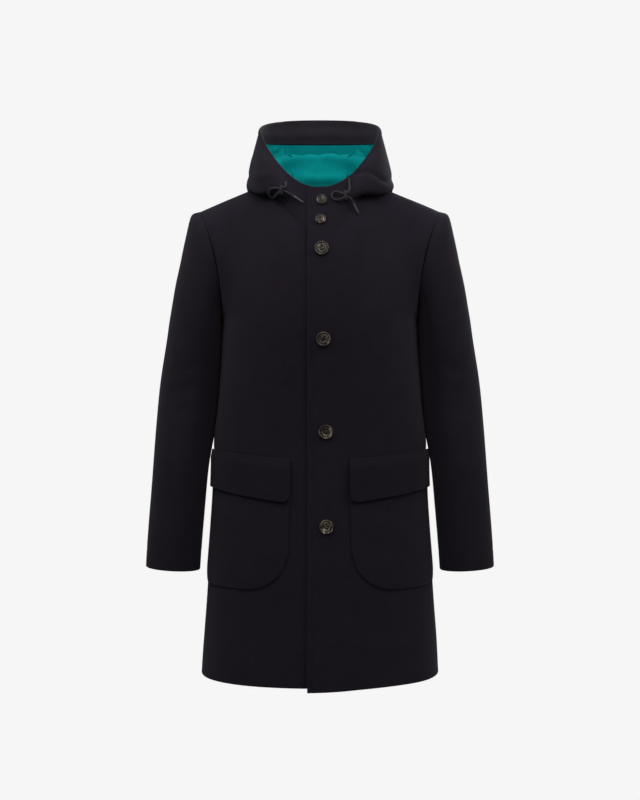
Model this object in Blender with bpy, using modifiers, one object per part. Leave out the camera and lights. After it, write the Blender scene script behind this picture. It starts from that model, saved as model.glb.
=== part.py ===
"""Hooded wool parka, hollow, as it stands on a wearer. Metres, +Z up, the front faces -Y.

The origin is midway between the shoulders at the base of the neck, where the wearer holds the
coat up. Left and right are the wearer's, so the left pieces lie on the +X side. Each piece of
cloth is a wall: an outer face worked out from tables of sections, and an inner face one
thickness inside it. A piece that lies on a panel follows the panel's own surface, moved out.
"""

import math
from bisect import bisect_right
from collections import namedtuple

import bmesh
import bpy
import numpy as np
from mathutils import Vector

# Cloth thicknesses and the gaps between pieces
WOOL = 0.0025
FACING_CLOTH = 0.0018
LINING_CLOTH = 0.0010
SEAM = 0.0003
HOOD_GAP = 0.0008
PATCH_GAP = 0.0009
FLAP_GAP = 0.0008

# Levels and widths of the body
HEM_Z = -0.887
CHEST_Z = -0.240
LAP_EDGE = 0.0225
LAP_LIFT = WOOL + 0.0006
LAP_FLARE = 0.0035
FLARE_START_Z = -0.70
LAP_DROP = 0.006
NECK_COLUMN = 4
SIDE_COLUMN = 9
NECK_BASE_TURN = 30.0
ARM_BLEND_COLUMN = 5.4
FRONT_LEAN = 16.0
BACK_LEAN = 22.0
NECK_REACH = 0.30
SHOULDER_REACH = 0.19
KNEE_RISE = 0.4
LEVELS_BELOW_CHEST = 10
LEVELS_ABOVE_CHEST = 8

FORWARD = np.array((0.0, -1.0, 0.0))

# Neck seam, shoulder and armhole
NECK_HALF_WIDTH = 0.093
NECK_CENTRE_Y = -0.020
NECK_DEPTH = 0.102
NECK_FRONT_Z = -0.087
NECK_SIDE_Z = 0.0095
NECK_BACK_Z = 0.018
SHOULDER_TIP = np.array((0.2205, 0.0, -0.0410))
UNDERARM = np.array((0.1777, 0.0, CHEST_Z))
ARMHOLE_DEPTH = 0.072
ARMHOLE_SCOOP_FRONT = 0.0125
ARMHOLE_SCOOP_BACK = 0.0080

# Hood
HOOD_SEAM_TURN = 145
FRONT_NECK_TURNS = (30, 37, 45, 60, 75, 90)
BACK_NECK_TURNS = (110, 130)
CENTRE_TURNS = (165, 180, 195)
SPREAD_START_TURN = 14.0
SPREAD_END_TURN = 62.0
FOLD_START_TURN = 24.0
FOLD_END_TURN = 60.0
FACING_LINE = 7.42
FACING_SEAM = 0.030
RIM_LINE = 8.0

# Pockets and flaps
PATCH_COLUMNS = (NECK_COLUMN * 60 / 90, NECK_COLUMN * 75 / 90, 4, 5, 6, 7, 8)
COLUMN_WIDTH = 0.036
POCKET_EDGE_X = 0.054
POCKET_EDGE_LEVEL = 0.4
POCKET_SIDE_COLUMN = 8.5
POCKET_TOP_Z = -0.510
POCKET_BOTTOM_Z = -0.721
POCKET_CORNER = 0.068
POCKET_SIDE_CORNER = 0.034
POCKET_WALL = 0.0022
FLAP_EDGE_X = 0.052
FLAP_EDGE_LEVEL = 0.6
FLAP_SIDE_COLUMN = 8.35
FLAP_TOP_Z = -0.4915
FLAP_TOP_RISE = 0.0145
FLAP_BOTTOM_Z = -0.5670
FLAP_BOTTOM_RISE = 0.0210
FLAP_CORNER = 0.012
FLAP_WALL = 0.0026
FLAP_STEP = 0.016
FLAP_STAND = 0.0022

# Buttons
SMALL_BUTTON_RADIUS = 0.0089
LARGE_BUTTON_RADIUS = 0.0125
BUTTON_GAP = 0.0006
BUTTON_STEPS = 20

# Drawcords: each comes out of the throat's edge, loops, and runs back past itself in a knot. The
# offs are how far its middle stands in front of the cloth: pressed a little into the wool where
# it lies on it, sunk where it comes out of the edge, and clear of the other strand at the knot
CORD_RADIUS = 0.0018
CORD_POINTS = 26
CORD_OFF = 0.0015
KNOT_OFF = 0.0060
EXIT_OFF = 0.0013
KNOT_RADIUS = 0.0016
KNOT_CLEAR = 0.0010
KNOT_POINTS = 20
TIP_LENGTH = 0.020
TIP_GAP = 0.0008
TIP_RADIUS = 0.0021
TIP_END_RADIUS = 0.0013

BodyRing = namedtuple("BodyRing", "height half_width front back fullness")
BODY = (
    BodyRing(-0.8870, 0.2180, 0.156, 0.146, 2.30),
    BodyRing(-0.8300, 0.2152, 0.151, 0.143, 2.25),
    BodyRing(-0.7600, 0.2102, 0.145, 0.139, 2.20),
    BodyRing(-0.6850, 0.2054, 0.142, 0.134, 2.25),
    BodyRing(-0.6100, 0.1995, 0.138, 0.128, 2.30),
    BodyRing(-0.5550, 0.1956, 0.135, 0.124, 2.35),
    BodyRing(-0.5000, 0.1943, 0.133, 0.121, 2.40),
    BodyRing(-0.4625, 0.1955, 0.132, 0.120, 2.40),
    BodyRing(-0.4200, 0.1905, 0.132, 0.120, 2.45),
    BodyRing(-0.3700, 0.1855, 0.134, 0.122, 2.50),
    BodyRing(-0.3200, 0.1812, 0.137, 0.127, 2.50),
    BodyRing(-0.2750, 0.1790, 0.140, 0.131, 2.50),
    BodyRing(-0.2400, 0.1777, 0.141, 0.133, 2.50),
)

SleeveRing = namedtuple(
    "SleeveRing", "station outer_x outer_z inner_x inner_z half_depth centre_y scoop"
)
SLEEVE = (
    SleeveRing(0, 0.2209, -0.0410, 0.1784, -0.2400, 0.0720, 0.000, 0.0125),
    SleeveRing(1, 0.2352, -0.0460, 0.1788, -0.2440, 0.0735, 0.000, 0.0105),
    SleeveRing(2, 0.2404, -0.0580, 0.1792, -0.2500, 0.0750, 0.000, 0.0080),
    SleeveRing(3, 0.2440, -0.0740, 0.1796, -0.2580, 0.0755, 0.000, 0.0060),
    SleeveRing(4, 0.2562, -0.1300, 0.1804, -0.2800, 0.0770, 0.001, 0.0030),
    SleeveRing(5, 0.2722, -0.2000, 0.1818, -0.3120, 0.0770, 0.002, 0.0010),
    SleeveRing(6, 0.2827, -0.2800, 0.1849, -0.3520, 0.0745, 0.001, 0.0),
    SleeveRing(7, 0.2922, -0.3500, 0.1883, -0.3900, 0.0715, -0.002, 0.0),
    SleeveRing(8, 0.2987, -0.4200, 0.1937, -0.4400, 0.0690, -0.009, 0.0),
    SleeveRing(9, 0.3052, -0.5000, 0.2036, -0.5080, 0.0650, -0.019, 0.0),
    SleeveRing(10, 0.3120, -0.5900, 0.2113, -0.5940, 0.0590, -0.024, 0.0),
    SleeveRing(11, 0.3157, -0.6540, 0.2163, -0.6590, 0.0545, -0.028, 0.0),
    SleeveRing(12, 0.3172, -0.6910, 0.2188, -0.6975, 0.0520, -0.030, 0.0),
)
TOP_SLEEVE_TURN = 120
SLEEVE_STEP_TURN = 20

# The hood's path from the neck seam up over its folds to the rim, at the side and at the back
HoodRing = namedtuple(
    "HoodRing", "share half_width front_y side_y back_y front_z side_z back_z fullness sweep"
)
HOOD = (
    HoodRing(0.09, 0.0950, -0.124, -0.016, 0.090, -0.064, 0.0290, 0.0500, 2.0, 1.3),
    HoodRing(0.18, 0.1010, -0.126, -0.010, 0.101, -0.050, 0.0400, 0.0780, 2.0, 1.3),
    HoodRing(0.27, 0.1100, -0.133, 0.000, 0.116, -0.055, 0.0230, 0.0300, 2.0, 1.3),
    HoodRing(0.36, 0.1240, -0.140, 0.008, 0.138, -0.058, 0.0024, -0.0650, 2.0, 1.3),
    HoodRing(0.45, 0.1350, -0.152, 0.012, 0.175, -0.054, 0.0043, -0.0700, 2.0, 1.3),
    HoodRing(0.54, 0.1335, -0.151, 0.014, 0.198, -0.030, 0.0290, 0.0000, 2.1, 1.2),
    HoodRing(0.63, 0.1240, -0.130, 0.015, 0.186, 0.000, 0.0700, 0.0850, 2.2, 1.0),
    HoodRing(1.00, 0.1125, -0.100, 0.015, 0.180, -0.012, 0.1145, 0.1690, 2.3, 0.86),
)
FRONT_SWEEP = 1.7

CordPoint = namedtuple("CordPoint", "x z off")
CORD_LEFT = (
    CordPoint(0.0511, 0.0050, EXIT_OFF),
    CordPoint(0.0522, -0.0060, CORD_OFF),
    CordPoint(0.0522, -0.0150, 0.0040),
    CordPoint(0.0502, -0.0222, 0.0060),
    CordPoint(0.0443, -0.0262, KNOT_OFF),
    CordPoint(0.0369, -0.0238, 0.0055),
    CordPoint(0.0293, -0.0212, 0.0035),
    CordPoint(0.0225, -0.0238, CORD_OFF),
    CordPoint(0.0208, -0.0298, CORD_OFF),
    CordPoint(0.0255, -0.0350, CORD_OFF),
    CordPoint(0.0330, -0.0362, 0.0035),
    CordPoint(0.0395, -0.0338, 0.0055),
    CordPoint(0.0450, -0.0308, KNOT_OFF),
    CordPoint(0.0505, -0.0318, 0.0055),
    CordPoint(0.0548, -0.0355, 0.0035),
    CordPoint(0.0594, -0.0430, 0.0042),
    CordPoint(0.0681, -0.0600, 0.0058),
)
CORD_RIGHT = (
    CordPoint(0.0604, -0.0030, EXIT_OFF - 0.0014),
    CordPoint(0.0605, -0.0095, 0.0026),
    CordPoint(0.0632, -0.0142, 0.0060),
    CordPoint(0.0690, -0.0160, KNOT_OFF),
    CordPoint(0.0757, -0.0150, 0.0048),
    CordPoint(0.0828, -0.0143, 0.0028),
    CordPoint(0.0893, -0.0170, CORD_OFF),
    CordPoint(0.0908, -0.0232, CORD_OFF),
    CordPoint(0.0862, -0.0286, CORD_OFF),
    CordPoint(0.0795, -0.0278, 0.0035),
    CordPoint(0.0743, -0.0238, 0.0055),
    CordPoint(0.0686, -0.0206, KNOT_OFF),
    CordPoint(0.0624, -0.0208, 0.0055),
    CordPoint(0.0559, -0.0236, 0.0035),
    CordPoint(0.0482, -0.0283, 0.0035),
    CordPoint(0.0293, -0.0412, 0.0035),
)
KNOT_PLACES = {"left": 0.0446, "right": 0.0688}

Button = namedtuple("Button", "name x z radius")
BUTTONS = (
    Button("button_small_1", 0.003, -0.0358, SMALL_BUTTON_RADIUS),
    Button("button_small_2", 0.001, -0.0716, SMALL_BUTTON_RADIUS),
    Button("button_large_1", 0.003, -0.1245, LARGE_BUTTON_RADIUS),
    Button("button_large_2", 0.006, -0.2825, LARGE_BUTTON_RADIUS),
    Button("button_large_3", 0.010, -0.4440, LARGE_BUTTON_RADIUS),
    Button("button_large_4", 0.011, -0.6090, LARGE_BUTTON_RADIUS),
)


def hermite(start, end, leave, arrive, t):
    """A point on a smooth curve that leaves its start and arrives at its end in two directions."""
    return (
        (2 * t**3 - 3 * t**2 + 1) * start
        + (t**3 - 2 * t**2 + t) * leave
        + (3 * t**2 - 2 * t**3) * end
        + (t**3 - t**2) * arrive
    )


def read(table, column, at):
    """The value of a table's column at a key, on a smooth curve through its rows."""
    keys = [row[0] for row in table]
    values = [getattr(row, column) for row in table]
    slopes = np.gradient(values, keys)
    span = min(max(bisect_right(keys, at) - 1, 0), len(keys) - 2)
    step = keys[span + 1] - keys[span]
    t = (at - keys[span]) / step
    return hermite(values[span], values[span + 1], step * slopes[span], step * slopes[span + 1], t)


def ease(low, high, at):
    """0 below low, 1 above high, and a soft step between them."""
    t = min(max((at - low) / (high - low), 0.0), 1.0)
    return t * t * (3 - 2 * t)


def unit(vector):
    return vector / np.linalg.norm(vector)


def mirrored(point):
    """The same point on the other side of the coat."""
    return point * np.array((-1.0, 1.0, 1.0))


# --- the body -------------------------------------------------------------------------------


def neck_point(turn):
    """The neck seam, from 0 degrees at the centre front to 180 at the centre back."""
    across = math.sin(math.radians(turn))
    along = math.cos(math.radians(turn))
    end_z = NECK_FRONT_Z if along > 0 else NECK_BACK_Z
    return np.array(
        (
            NECK_HALF_WIDTH * across,
            NECK_CENTRE_Y - NECK_DEPTH * along,
            NECK_SIDE_Z + (end_z - NECK_SIDE_Z) * along**2,
        )
    )


def armhole_point(turn):
    """The armhole seam: 0 degrees at the shoulder tip, 90 in front, 180 under the arm."""
    across = math.sin(math.radians(turn))
    along = math.cos(math.radians(turn))
    scoop = ARMHOLE_SCOOP_FRONT if across > 0 else ARMHOLE_SCOOP_BACK
    middle = (SHOULDER_TIP + UNDERARM) / 2
    half = (SHOULDER_TIP - UNDERARM) / 2
    return middle + half * along + np.array((-scoop * across**2, -ARMHOLE_DEPTH * across, 0.0))


def neck_column(turn):
    """The panel column that ends on the neck seam at a turn from its own centre line."""
    return NECK_COLUMN * turn / 90.0


def column_turn(column):
    """How far round the body a column stands up to chest level, in degrees."""
    return np.interp(column, (0, NECK_COLUMN, SIDE_COLUMN), (0, NECK_BASE_TURN, 90))


def column_top(face, column):
    """Where a column ends: on the neck seam or on the shoulder seam."""
    if column <= NECK_COLUMN:
        turn = 90.0 * column / NECK_COLUMN
        return neck_point(turn if face < 0 else 180.0 - turn)
    share = (column - NECK_COLUMN) / (SIDE_COLUMN - NECK_COLUMN)
    return neck_point(90.0) * (1 - share) + SHOULDER_TIP * share


def body_ring_point(face, column, height):
    """A point on the body at a height between the hem and the chest."""
    share = math.sin(math.radians(column_turn(column)))
    fullness = read(BODY, "fullness", height)
    depth = read(BODY, "front" if face < 0 else "back", height)
    inward = max(1.0 - share**fullness, 0.0) ** (1.0 / fullness)
    return np.array((share * read(BODY, "half_width", height), face * depth * inward, height))


def rising_point(face, column, t):
    """A column above the chest, t from 0 at chest level to 1 at its top, with no armhole cut."""
    base = body_ring_point(face, column, CHEST_Z)
    top = column_top(face, column)
    toward_shoulder = min(column / NECK_COLUMN, 1.0) ** 2
    centre_lean = FRONT_LEAN if face < 0 else BACK_LEAN
    lean = math.radians(centre_lean + (90.0 - centre_lean) * toward_shoulder)
    arrive = np.array((0.0, -face * math.sin(lean), math.cos(lean)))
    reach = NECK_REACH + (SHOULDER_REACH - NECK_REACH) * toward_shoulder
    length = np.linalg.norm(top - base)
    knee = base + np.array((0.0, 0.0, KNEE_RISE * (top[2] - base[2])))
    brow = top - arrive * length * reach
    return (
        (1 - t) ** 3 * base + 3 * t * (1 - t) ** 2 * knee + 3 * t**2 * (1 - t) * brow + t**3 * top
    )


def panel_point(face, column, level):
    """The body's outer face: level 0 at the hem, 1 at the chest, 2 at the panel's top edge.

    The last column is the side seam up to the chest, and the armhole seam above it.
    """
    if column < 0:
        return mirrored(panel_point(face, -column, level))
    if level <= 1.0:
        return body_ring_point(face, column, HEM_Z + level * (CHEST_Z - HEM_Z))
    point = rising_point(face, column, level - 1.0)
    t = (column - ARM_BLEND_COLUMN) / (SIDE_COLUMN - ARM_BLEND_COLUMN)
    if t > 0:
        armhole = armhole_point(-face * 180.0 * (2.0 - level))
        point = point + t * t * (2 - t) * (armhole - rising_point(face, SIDE_COLUMN, level - 1.0))
    return point


def panel_normal(face, column, level):
    """The direction out of the cloth. On the shoulder seam it is the shoulder's own."""
    step = 0.01
    low, high = column - step, min(column + step, SIDE_COLUMN)
    if abs(column - NECK_COLUMN) < step:
        low = NECK_COLUMN
    down, up = max(level - step, 0.0), min(level + step, 2.0)
    across = panel_point(face, high, level) - panel_point(face, low, level)
    along = panel_point(face, column, up) - panel_point(face, column, down)
    return unit(np.cross(across, along) * -face)


def lap_lift(x, height):
    """How far the left front stands off the right one, x being its own side's positive."""
    hold = LAP_LIFT * (1 - ease(0.030, 0.075, x))
    flare = LAP_FLARE * ease(FLARE_START_Z, HEM_Z, height) if height < FLARE_START_Z else 0.0
    return hold + flare * (1 - ease(-LAP_EDGE, 0.050, x))


def front_surface(side, column, level, out=0.0):
    """A front's outer face moved out, with the direction out of it. side is 1 left, -1 right."""
    point = panel_point(-1, column, level)
    normal = panel_normal(-1, column, level)
    if side > 0:
        point = point + FORWARD * lap_lift(point[0], point[2])
        point[2] -= LAP_DROP * (1 - ease(-0.02, 0.16, point[0])) * (1 - ease(0.0, 0.25, level))
    point = point + normal * out
    if side < 0:
        return mirrored(point), mirrored(normal)
    return point, normal


def back_surface(column, level):
    """The back's outer face, columns below 0 being its right half."""
    point = panel_point(1, abs(column), level)
    normal = panel_normal(1, abs(column), level)
    if column < 0:
        return mirrored(point), mirrored(normal)
    return point, normal


def column_at(x, level):
    """The front's column that stands at a distance x from the centre line, at a level."""
    columns = np.linspace(0, NECK_COLUMN, 17)
    places = [panel_point(-1, column, level)[0] for column in columns]
    return math.copysign(np.interp(abs(x), places, columns), x)


def level_at(height):
    """The level of a height between the hem and the chest."""
    return (height - HEM_Z) / (CHEST_Z - HEM_Z)


# --- the sleeve -----------------------------------------------------------------------------


def sleeve_point(turn, station):
    """The sleeve's outer face: turn 0 on the outside, 90 in front, 180 against the body."""
    outer = np.array((read(SLEEVE, "outer_x", station), 0.0, read(SLEEVE, "outer_z", station)))
    inner = np.array((read(SLEEVE, "inner_x", station), 0.0, read(SLEEVE, "inner_z", station)))
    across = math.sin(math.radians(turn))
    along = math.cos(math.radians(turn))
    scoop = read(SLEEVE, "scoop", station) * across**2
    if across < 0:
        scoop *= ARMHOLE_SCOOP_BACK / ARMHOLE_SCOOP_FRONT
    depth = read(SLEEVE, "half_depth", station) * across
    shift = np.array((-scoop, read(SLEEVE, "centre_y", station) - depth, 0.0))
    return (outer + inner) / 2 + (outer - inner) / 2 * along + shift


def sleeve_surface(side, turn, station):
    """The sleeve's outer face and the direction out of it."""
    step = 0.02
    last = SLEEVE[-1].station
    around = sleeve_point(turn + 1, station) - sleeve_point(turn - 1, station)
    down = sleeve_point(turn, min(station + step, last)) - sleeve_point(turn, max(station - step, 0))
    normal = unit(np.cross(around, down))
    point = sleeve_point(turn, station)
    if side < 0:
        return mirrored(point), mirrored(normal)
    return point, normal


# --- the hood -------------------------------------------------------------------------------


def hood_ring_point(ring, turn):
    """A point on one ring of the hood, flattened toward its back corners by its fullness."""
    along = math.cos(math.radians(turn))
    if along > 0:
        across = math.sin(math.radians(turn))
        end_y, end_z, rise = ring.front_y, ring.front_z, along**FRONT_SWEEP
    else:
        across = max(1.0 - abs(along) ** ring.fullness, 0.0) ** (1.0 / ring.fullness)
        end_y, end_z, rise = ring.back_y, ring.back_z, abs(along) ** ring.sweep
    return np.array(
        (
            ring.half_width * across,
            ring.side_y + (end_y - ring.side_y) * abs(along),
            ring.side_z + (end_z - ring.side_z) * rise,
        )
    )


def hood_knots(turn):
    """The points of the hood's path at a turn round the neck: seam, folds and rim."""
    neck = neck_point(turn)
    rim_point = hood_ring_point(HOOD[-1], turn)
    spread = ease(SPREAD_START_TURN, SPREAD_END_TURN, turn)
    fold = ease(FOLD_START_TURN, FOLD_END_TURN, turn)
    amount = np.array((spread, spread, fold))
    knots = [neck]
    for ring in HOOD[:-1]:
        upright = neck + (rim_point - neck) * ring.share
        knots.append(upright * (1 - amount) + hood_ring_point(ring, turn) * amount)
    knots.append(rim_point)
    return np.array(knots)


def hood_point(turn, line):
    """The hood's outer face: line 0 at the neck seam to 8 at the rim."""
    if turn < 0:
        return mirrored(hood_point(-turn, line))
    if turn > 180:
        return mirrored(hood_point(360 - turn, line))
    knots = hood_knots(turn)
    steps = np.sqrt(np.linalg.norm(np.diff(knots, axis=0), axis=1))
    keys = np.concatenate(((0.0,), np.cumsum(steps)))
    slopes = np.gradient(knots, keys, axis=0)
    span = min(int(line), len(knots) - 2)
    step = keys[span + 1] - keys[span]
    leave, arrive = step * slopes[span], step * slopes[span + 1]
    return hermite(knots[span], knots[span + 1], leave, arrive, line - span)


def hood_surface(side, turn, line, out=0.0):
    """The hood's outer face moved out, or in below 0, with the direction out of the cloth."""
    step = 0.02
    around = hood_point(turn + 0.5, line) - hood_point(turn - 0.5, line)
    along = hood_point(turn, min(line + step, RIM_LINE)) - hood_point(turn, max(line - step, 0))
    normal = unit(np.cross(around, along))
    point = hood_point(turn, line) + normal * out
    if side < 0:
        return mirrored(point), mirrored(normal)
    return point, normal


def hood_side_surface(side, turn, line):
    """A hood side: the left one laps over the right at the throat, as the fronts do."""
    point, normal = hood_surface(1, turn, line)
    if side < 0:
        return mirrored(point), mirrored(normal)
    if turn < 90:
        point = point + FORWARD * lap_lift(point[0], point[2])
    return point, normal


def hood_turn_at(x, line):
    """The turn at which the hood stands at a distance x from the centre line, in front."""
    turns = np.linspace(0, 45, 10)
    places = [hood_point(turn, line)[0] for turn in turns]
    return math.copysign(np.interp(abs(x), places, turns), x)


# --- making the pieces ----------------------------------------------------------------------


def clear_scene():
    for obj in list(bpy.data.objects):
        bpy.data.objects.remove(obj, do_unlink=True)


def material(name, colour, roughness, sheen=0.0):
    made = bpy.data.materials.new(name)
    made.use_nodes = True
    shader = made.node_tree.nodes["Principled BSDF"]
    shader.inputs["Base Color"].default_value = (*colour, 1.0)
    shader.inputs["Roughness"].default_value = roughness
    shader.inputs["Metallic"].default_value = 0.0
    shader.inputs["Sheen Weight"].default_value = sheen
    return made


def add_object(name, data, collection, finish):
    made = bpy.data.objects.new(name, data)
    collection.objects.link(made)
    data.materials.append(finish)
    return made


def cloth_wall(name, collection, finish, surface, columns, rows, thickness, symmetric=False):
    """A closed wall between a surface and its copy one thickness inside.

    surface(column, row) gives the outer point and the direction out of it. A column is a
    number, or a function of the row where the edge doesn't follow the surface's own lines.
    """
    mesh = bmesh.new()
    faces_of_wall = []
    for depth in (0.0, thickness):
        layer = []
        for row in rows:
            line = []
            for column in columns:
                at = column(row) if callable(column) else column
                point, normal = surface(at, row)
                line.append(mesh.verts.new(point - normal * depth))
            layer.append(line)
        faces_of_wall.append(layer)
    join_wall(mesh, *faces_of_wall, symmetric)
    data = bpy.data.meshes.new(name)
    mesh.to_mesh(data)
    mesh.free()
    data.shade_smooth()
    data.set_sharp_from_angle(angle=math.radians(50))
    return add_object(name, data, collection, finish)


def join_wall(mesh, outer, inner, symmetric):
    """Faces over the outer layer, the inner layer and the four edges of a wall.

    Every layer of cloth splits its faces along the same diagonal, so that layers stay apart. A
    piece that crosses the centre line turns the diagonal round there, as its two sides do.
    """
    for layer in (outer, inner):
        for low, high in zip(layer[:-1], layer[1:]):
            for left in range(len(low) - 1):
                first, second, third, fourth = low[left], low[left + 1], high[left + 1], high[left]
                if symmetric and 2 * left >= len(low) - 1:
                    first, second, third, fourth = second, third, fourth, first
                mesh.faces.new((first, second, third))
                mesh.faces.new((first, third, fourth))
    edges = (
        (outer[0], inner[0]),
        (outer[-1], inner[-1]),
        ([line[0] for line in outer], [line[0] for line in inner]),
        ([line[-1] for line in outer], [line[-1] for line in inner]),
    )
    for above, below in edges:
        for left in range(len(above) - 1):
            mesh.faces.new((above[left], above[left + 1], below[left + 1], below[left]))
    bmesh.ops.recalc_face_normals(mesh, faces=mesh.faces[:])


def add_body(collection, finish):
    levels = [
        *np.linspace(0, 1, LEVELS_BELOW_CHEST + 1),
        *np.linspace(1, 2, LEVELS_ABOVE_CHEST + 1)[1:],
    ]
    shoulder_columns = range(NECK_COLUMN + 1, SIDE_COLUMN + 1)
    edge_columns = [
        lambda level: column_at(-LAP_EDGE, level),
        0,
        lambda level: column_at(LAP_EDGE, level),
    ]
    for side, word in ((1, "left"), (-1, "right")):

        def front(column, level, side=side):
            point, normal = front_surface(side, column, level)
            return point - np.array((0.0, SEAM / 2, 0.0)), normal

        neck_columns = [neck_column(turn) for turn in FRONT_NECK_TURNS]
        columns = [*edge_columns, *neck_columns, *shoulder_columns]
        cloth_wall(f"front_{word}", collection, finish, front, columns, levels, WOOL)

    def back(column, level):
        point, normal = back_surface(column, level)
        return point + np.array((0.0, SEAM / 2, 0.0)), normal

    neck_turns = (CENTRE_TURNS[0], HOOD_SEAM_TURN, *reversed(BACK_NECK_TURNS), 90)
    half = [neck_column(180 - turn) for turn in neck_turns]
    half += shoulder_columns
    columns = [-column for column in reversed(half)] + [0] + half
    cloth_wall("back", collection, finish, back, columns, levels, WOOL, symmetric=True)


def add_sleeves(collection, finish):
    stations = [ring.station for ring in SLEEVE]
    seam_turn = math.degrees(SEAM / 2 / SLEEVE[-1].half_depth)
    pieces = (
        ("sleeve_top", -TOP_SLEEVE_TURN, TOP_SLEEVE_TURN),
        ("sleeve_under", TOP_SLEEVE_TURN, 360 - TOP_SLEEVE_TURN),
    )
    for side, word in ((1, "left"), (-1, "right")):
        for name, start, end in pieces:

            def sleeve(turn, station, side=side):
                return sleeve_surface(side, turn, station)

            middle_turns = range(start + SLEEVE_STEP_TURN, end, SLEEVE_STEP_TURN)
            turns = [start + seam_turn, *middle_turns, end - seam_turn]
            cloth_wall(f"{name}_{word}", collection, finish, sleeve, turns, stations, WOOL)


def add_hood(collection, wool, lining):
    below_facing = np.arange(0, FACING_LINE, 0.5)
    lines = [*below_facing, FACING_LINE, RIM_LINE]
    lining_lines = [*below_facing, FACING_LINE - FACING_SEAM]
    facing_lines = (FACING_LINE, RIM_LINE)
    seam_turn = math.degrees(SEAM / NECK_HALF_WIDTH)
    raise_seam = np.array((0.0, 0.0, SEAM))
    side_turns = [*FRONT_NECK_TURNS, *BACK_NECK_TURNS, HOOD_SEAM_TURN - seam_turn]
    centre_end = HOOD_SEAM_TURN + seam_turn
    centre_turns = [centre_end, *CENTRE_TURNS, 360 - centre_end]
    edge_turns = [
        lambda line: hood_turn_at(-LAP_EDGE, line),
        0,
        lambda line: hood_turn_at(LAP_EDGE, line),
    ]
    inside = WOOL + HOOD_GAP

    for side, word in ((1, "left"), (-1, "right")):

        def hood_side(turn, line, side=side):
            point, normal = hood_side_surface(side, turn, line)
            return point + raise_seam * (line == 0), normal

        def hood_lining(turn, line, side=side):
            point, normal = hood_surface(side, turn, line, -inside)
            if side > 0 and turn < 90:
                lift = lap_lift(point[0], point[2]) * ease(LAP_EDGE, 2 * LAP_EDGE, point[0])
                point = point + FORWARD * lift
            return point + raise_seam * (line == 0), normal

        turns = [*edge_turns, *side_turns]
        cloth_wall(f"hood_side_{word}", collection, wool, hood_side, turns, lines, WOOL)
        turns = [seam_turn, edge_turns[-1], *side_turns]
        cloth_wall(
            f"hood_lining_{word}", collection, lining, hood_lining, turns, lining_lines, LINING_CLOTH
        )

    def centre(turn, line):
        point, normal = hood_surface(1, turn, line)
        return point + raise_seam * (line == 0), normal

    def centre_lining(turn, line):
        point, normal = hood_surface(1, turn, line, -inside)
        return point + raise_seam * (line == 0), normal

    def facing(turn, line):
        return hood_surface(1, turn, line, -inside)

    cloth_wall("hood_centre", collection, wool, centre, centre_turns, lines, WOOL, symmetric=True)
    cloth_wall(
        "hood_lining_centre",
        collection,
        lining,
        centre_lining,
        centre_turns,
        lining_lines,
        LINING_CLOTH,
        symmetric=True,
    )
    between = [*FRONT_NECK_TURNS, *BACK_NECK_TURNS, HOOD_SEAM_TURN]
    facing_turns = [seam_turn, edge_turns[-1], *between, *CENTRE_TURNS]
    facing_turns += [360 - turn for turn in reversed(between)]
    facing_turns += [lambda line: 360 - hood_turn_at(LAP_EDGE, line), 360 - seam_turn]
    cloth_wall(
        "hood_facing",
        collection,
        wool,
        facing,
        facing_turns,
        facing_lines,
        FACING_CLOTH,
        symmetric=True,
    )


def round_corner(distance, radius):
    """How far a rounded corner lifts the edge at a distance from the piece's side."""
    short = max(radius - distance, 0.0)
    return radius - math.sqrt(radius**2 - short**2)


def add_pockets(collection, finish):
    """Patch pockets with rounded lower corners, lying on the fronts."""
    rows_up = 7
    for side, word in ((1, "left"), (-1, "right")):

        def pocket(column, rise, side=side):
            from_edge = max(panel_point(-1, column, level_at(POCKET_TOP_Z))[0] - POCKET_EDGE_X, 0.0)
            from_side = (POCKET_SIDE_COLUMN - column) * COLUMN_WIDTH
            low = POCKET_BOTTOM_Z + round_corner(from_edge, POCKET_CORNER)
            low += round_corner(from_side, POCKET_SIDE_CORNER)
            level = level_at(low + (POCKET_TOP_Z - low) * rise)
            return front_surface(side, column, level, PATCH_GAP + POCKET_WALL)

        edge = column_at(POCKET_EDGE_X, POCKET_EDGE_LEVEL)
        columns = [edge, *PATCH_COLUMNS, POCKET_SIDE_COLUMN]
        rises = np.linspace(0, 1, rows_up)
        cloth_wall(f"pocket_{word}", collection, finish, pocket, columns, rises, POCKET_WALL)


def add_flaps(collection, finish):
    """Pocket flaps: sewn on above the pocket, they step over it and stand a little off it."""
    rows_down = (0.0, 0.22, 0.6, 1.0)
    for side, word in ((1, "left"), (-1, "right")):

        def flap(column, drop, side=side):
            share = ease(2.0, FLAP_SIDE_COLUMN, column)
            from_edge = max(panel_point(-1, column, level_at(FLAP_TOP_Z))[0] - FLAP_EDGE_X, 0.0)
            top = FLAP_TOP_Z + FLAP_TOP_RISE * share
            bottom = FLAP_BOTTOM_Z + FLAP_BOTTOM_RISE * share
            bottom += round_corner(from_edge, FLAP_CORNER)
            height = top + (bottom - top) * drop
            level = level_at(height)
            step = ease(0.0, FLAP_STEP, top - height)
            over = PATCH_GAP + (POCKET_WALL + FLAP_GAP) * step
            stand = FLAP_STAND * drop * (1 - 0.4 * share)
            return front_surface(side, column, level, over + stand + FLAP_WALL)

        edge = column_at(FLAP_EDGE_X, FLAP_EDGE_LEVEL)
        columns = [edge, *PATCH_COLUMNS, FLAP_SIDE_COLUMN]
        cloth_wall(f"flap_{word}", collection, finish, flap, columns, rows_down, FLAP_WALL)


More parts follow.
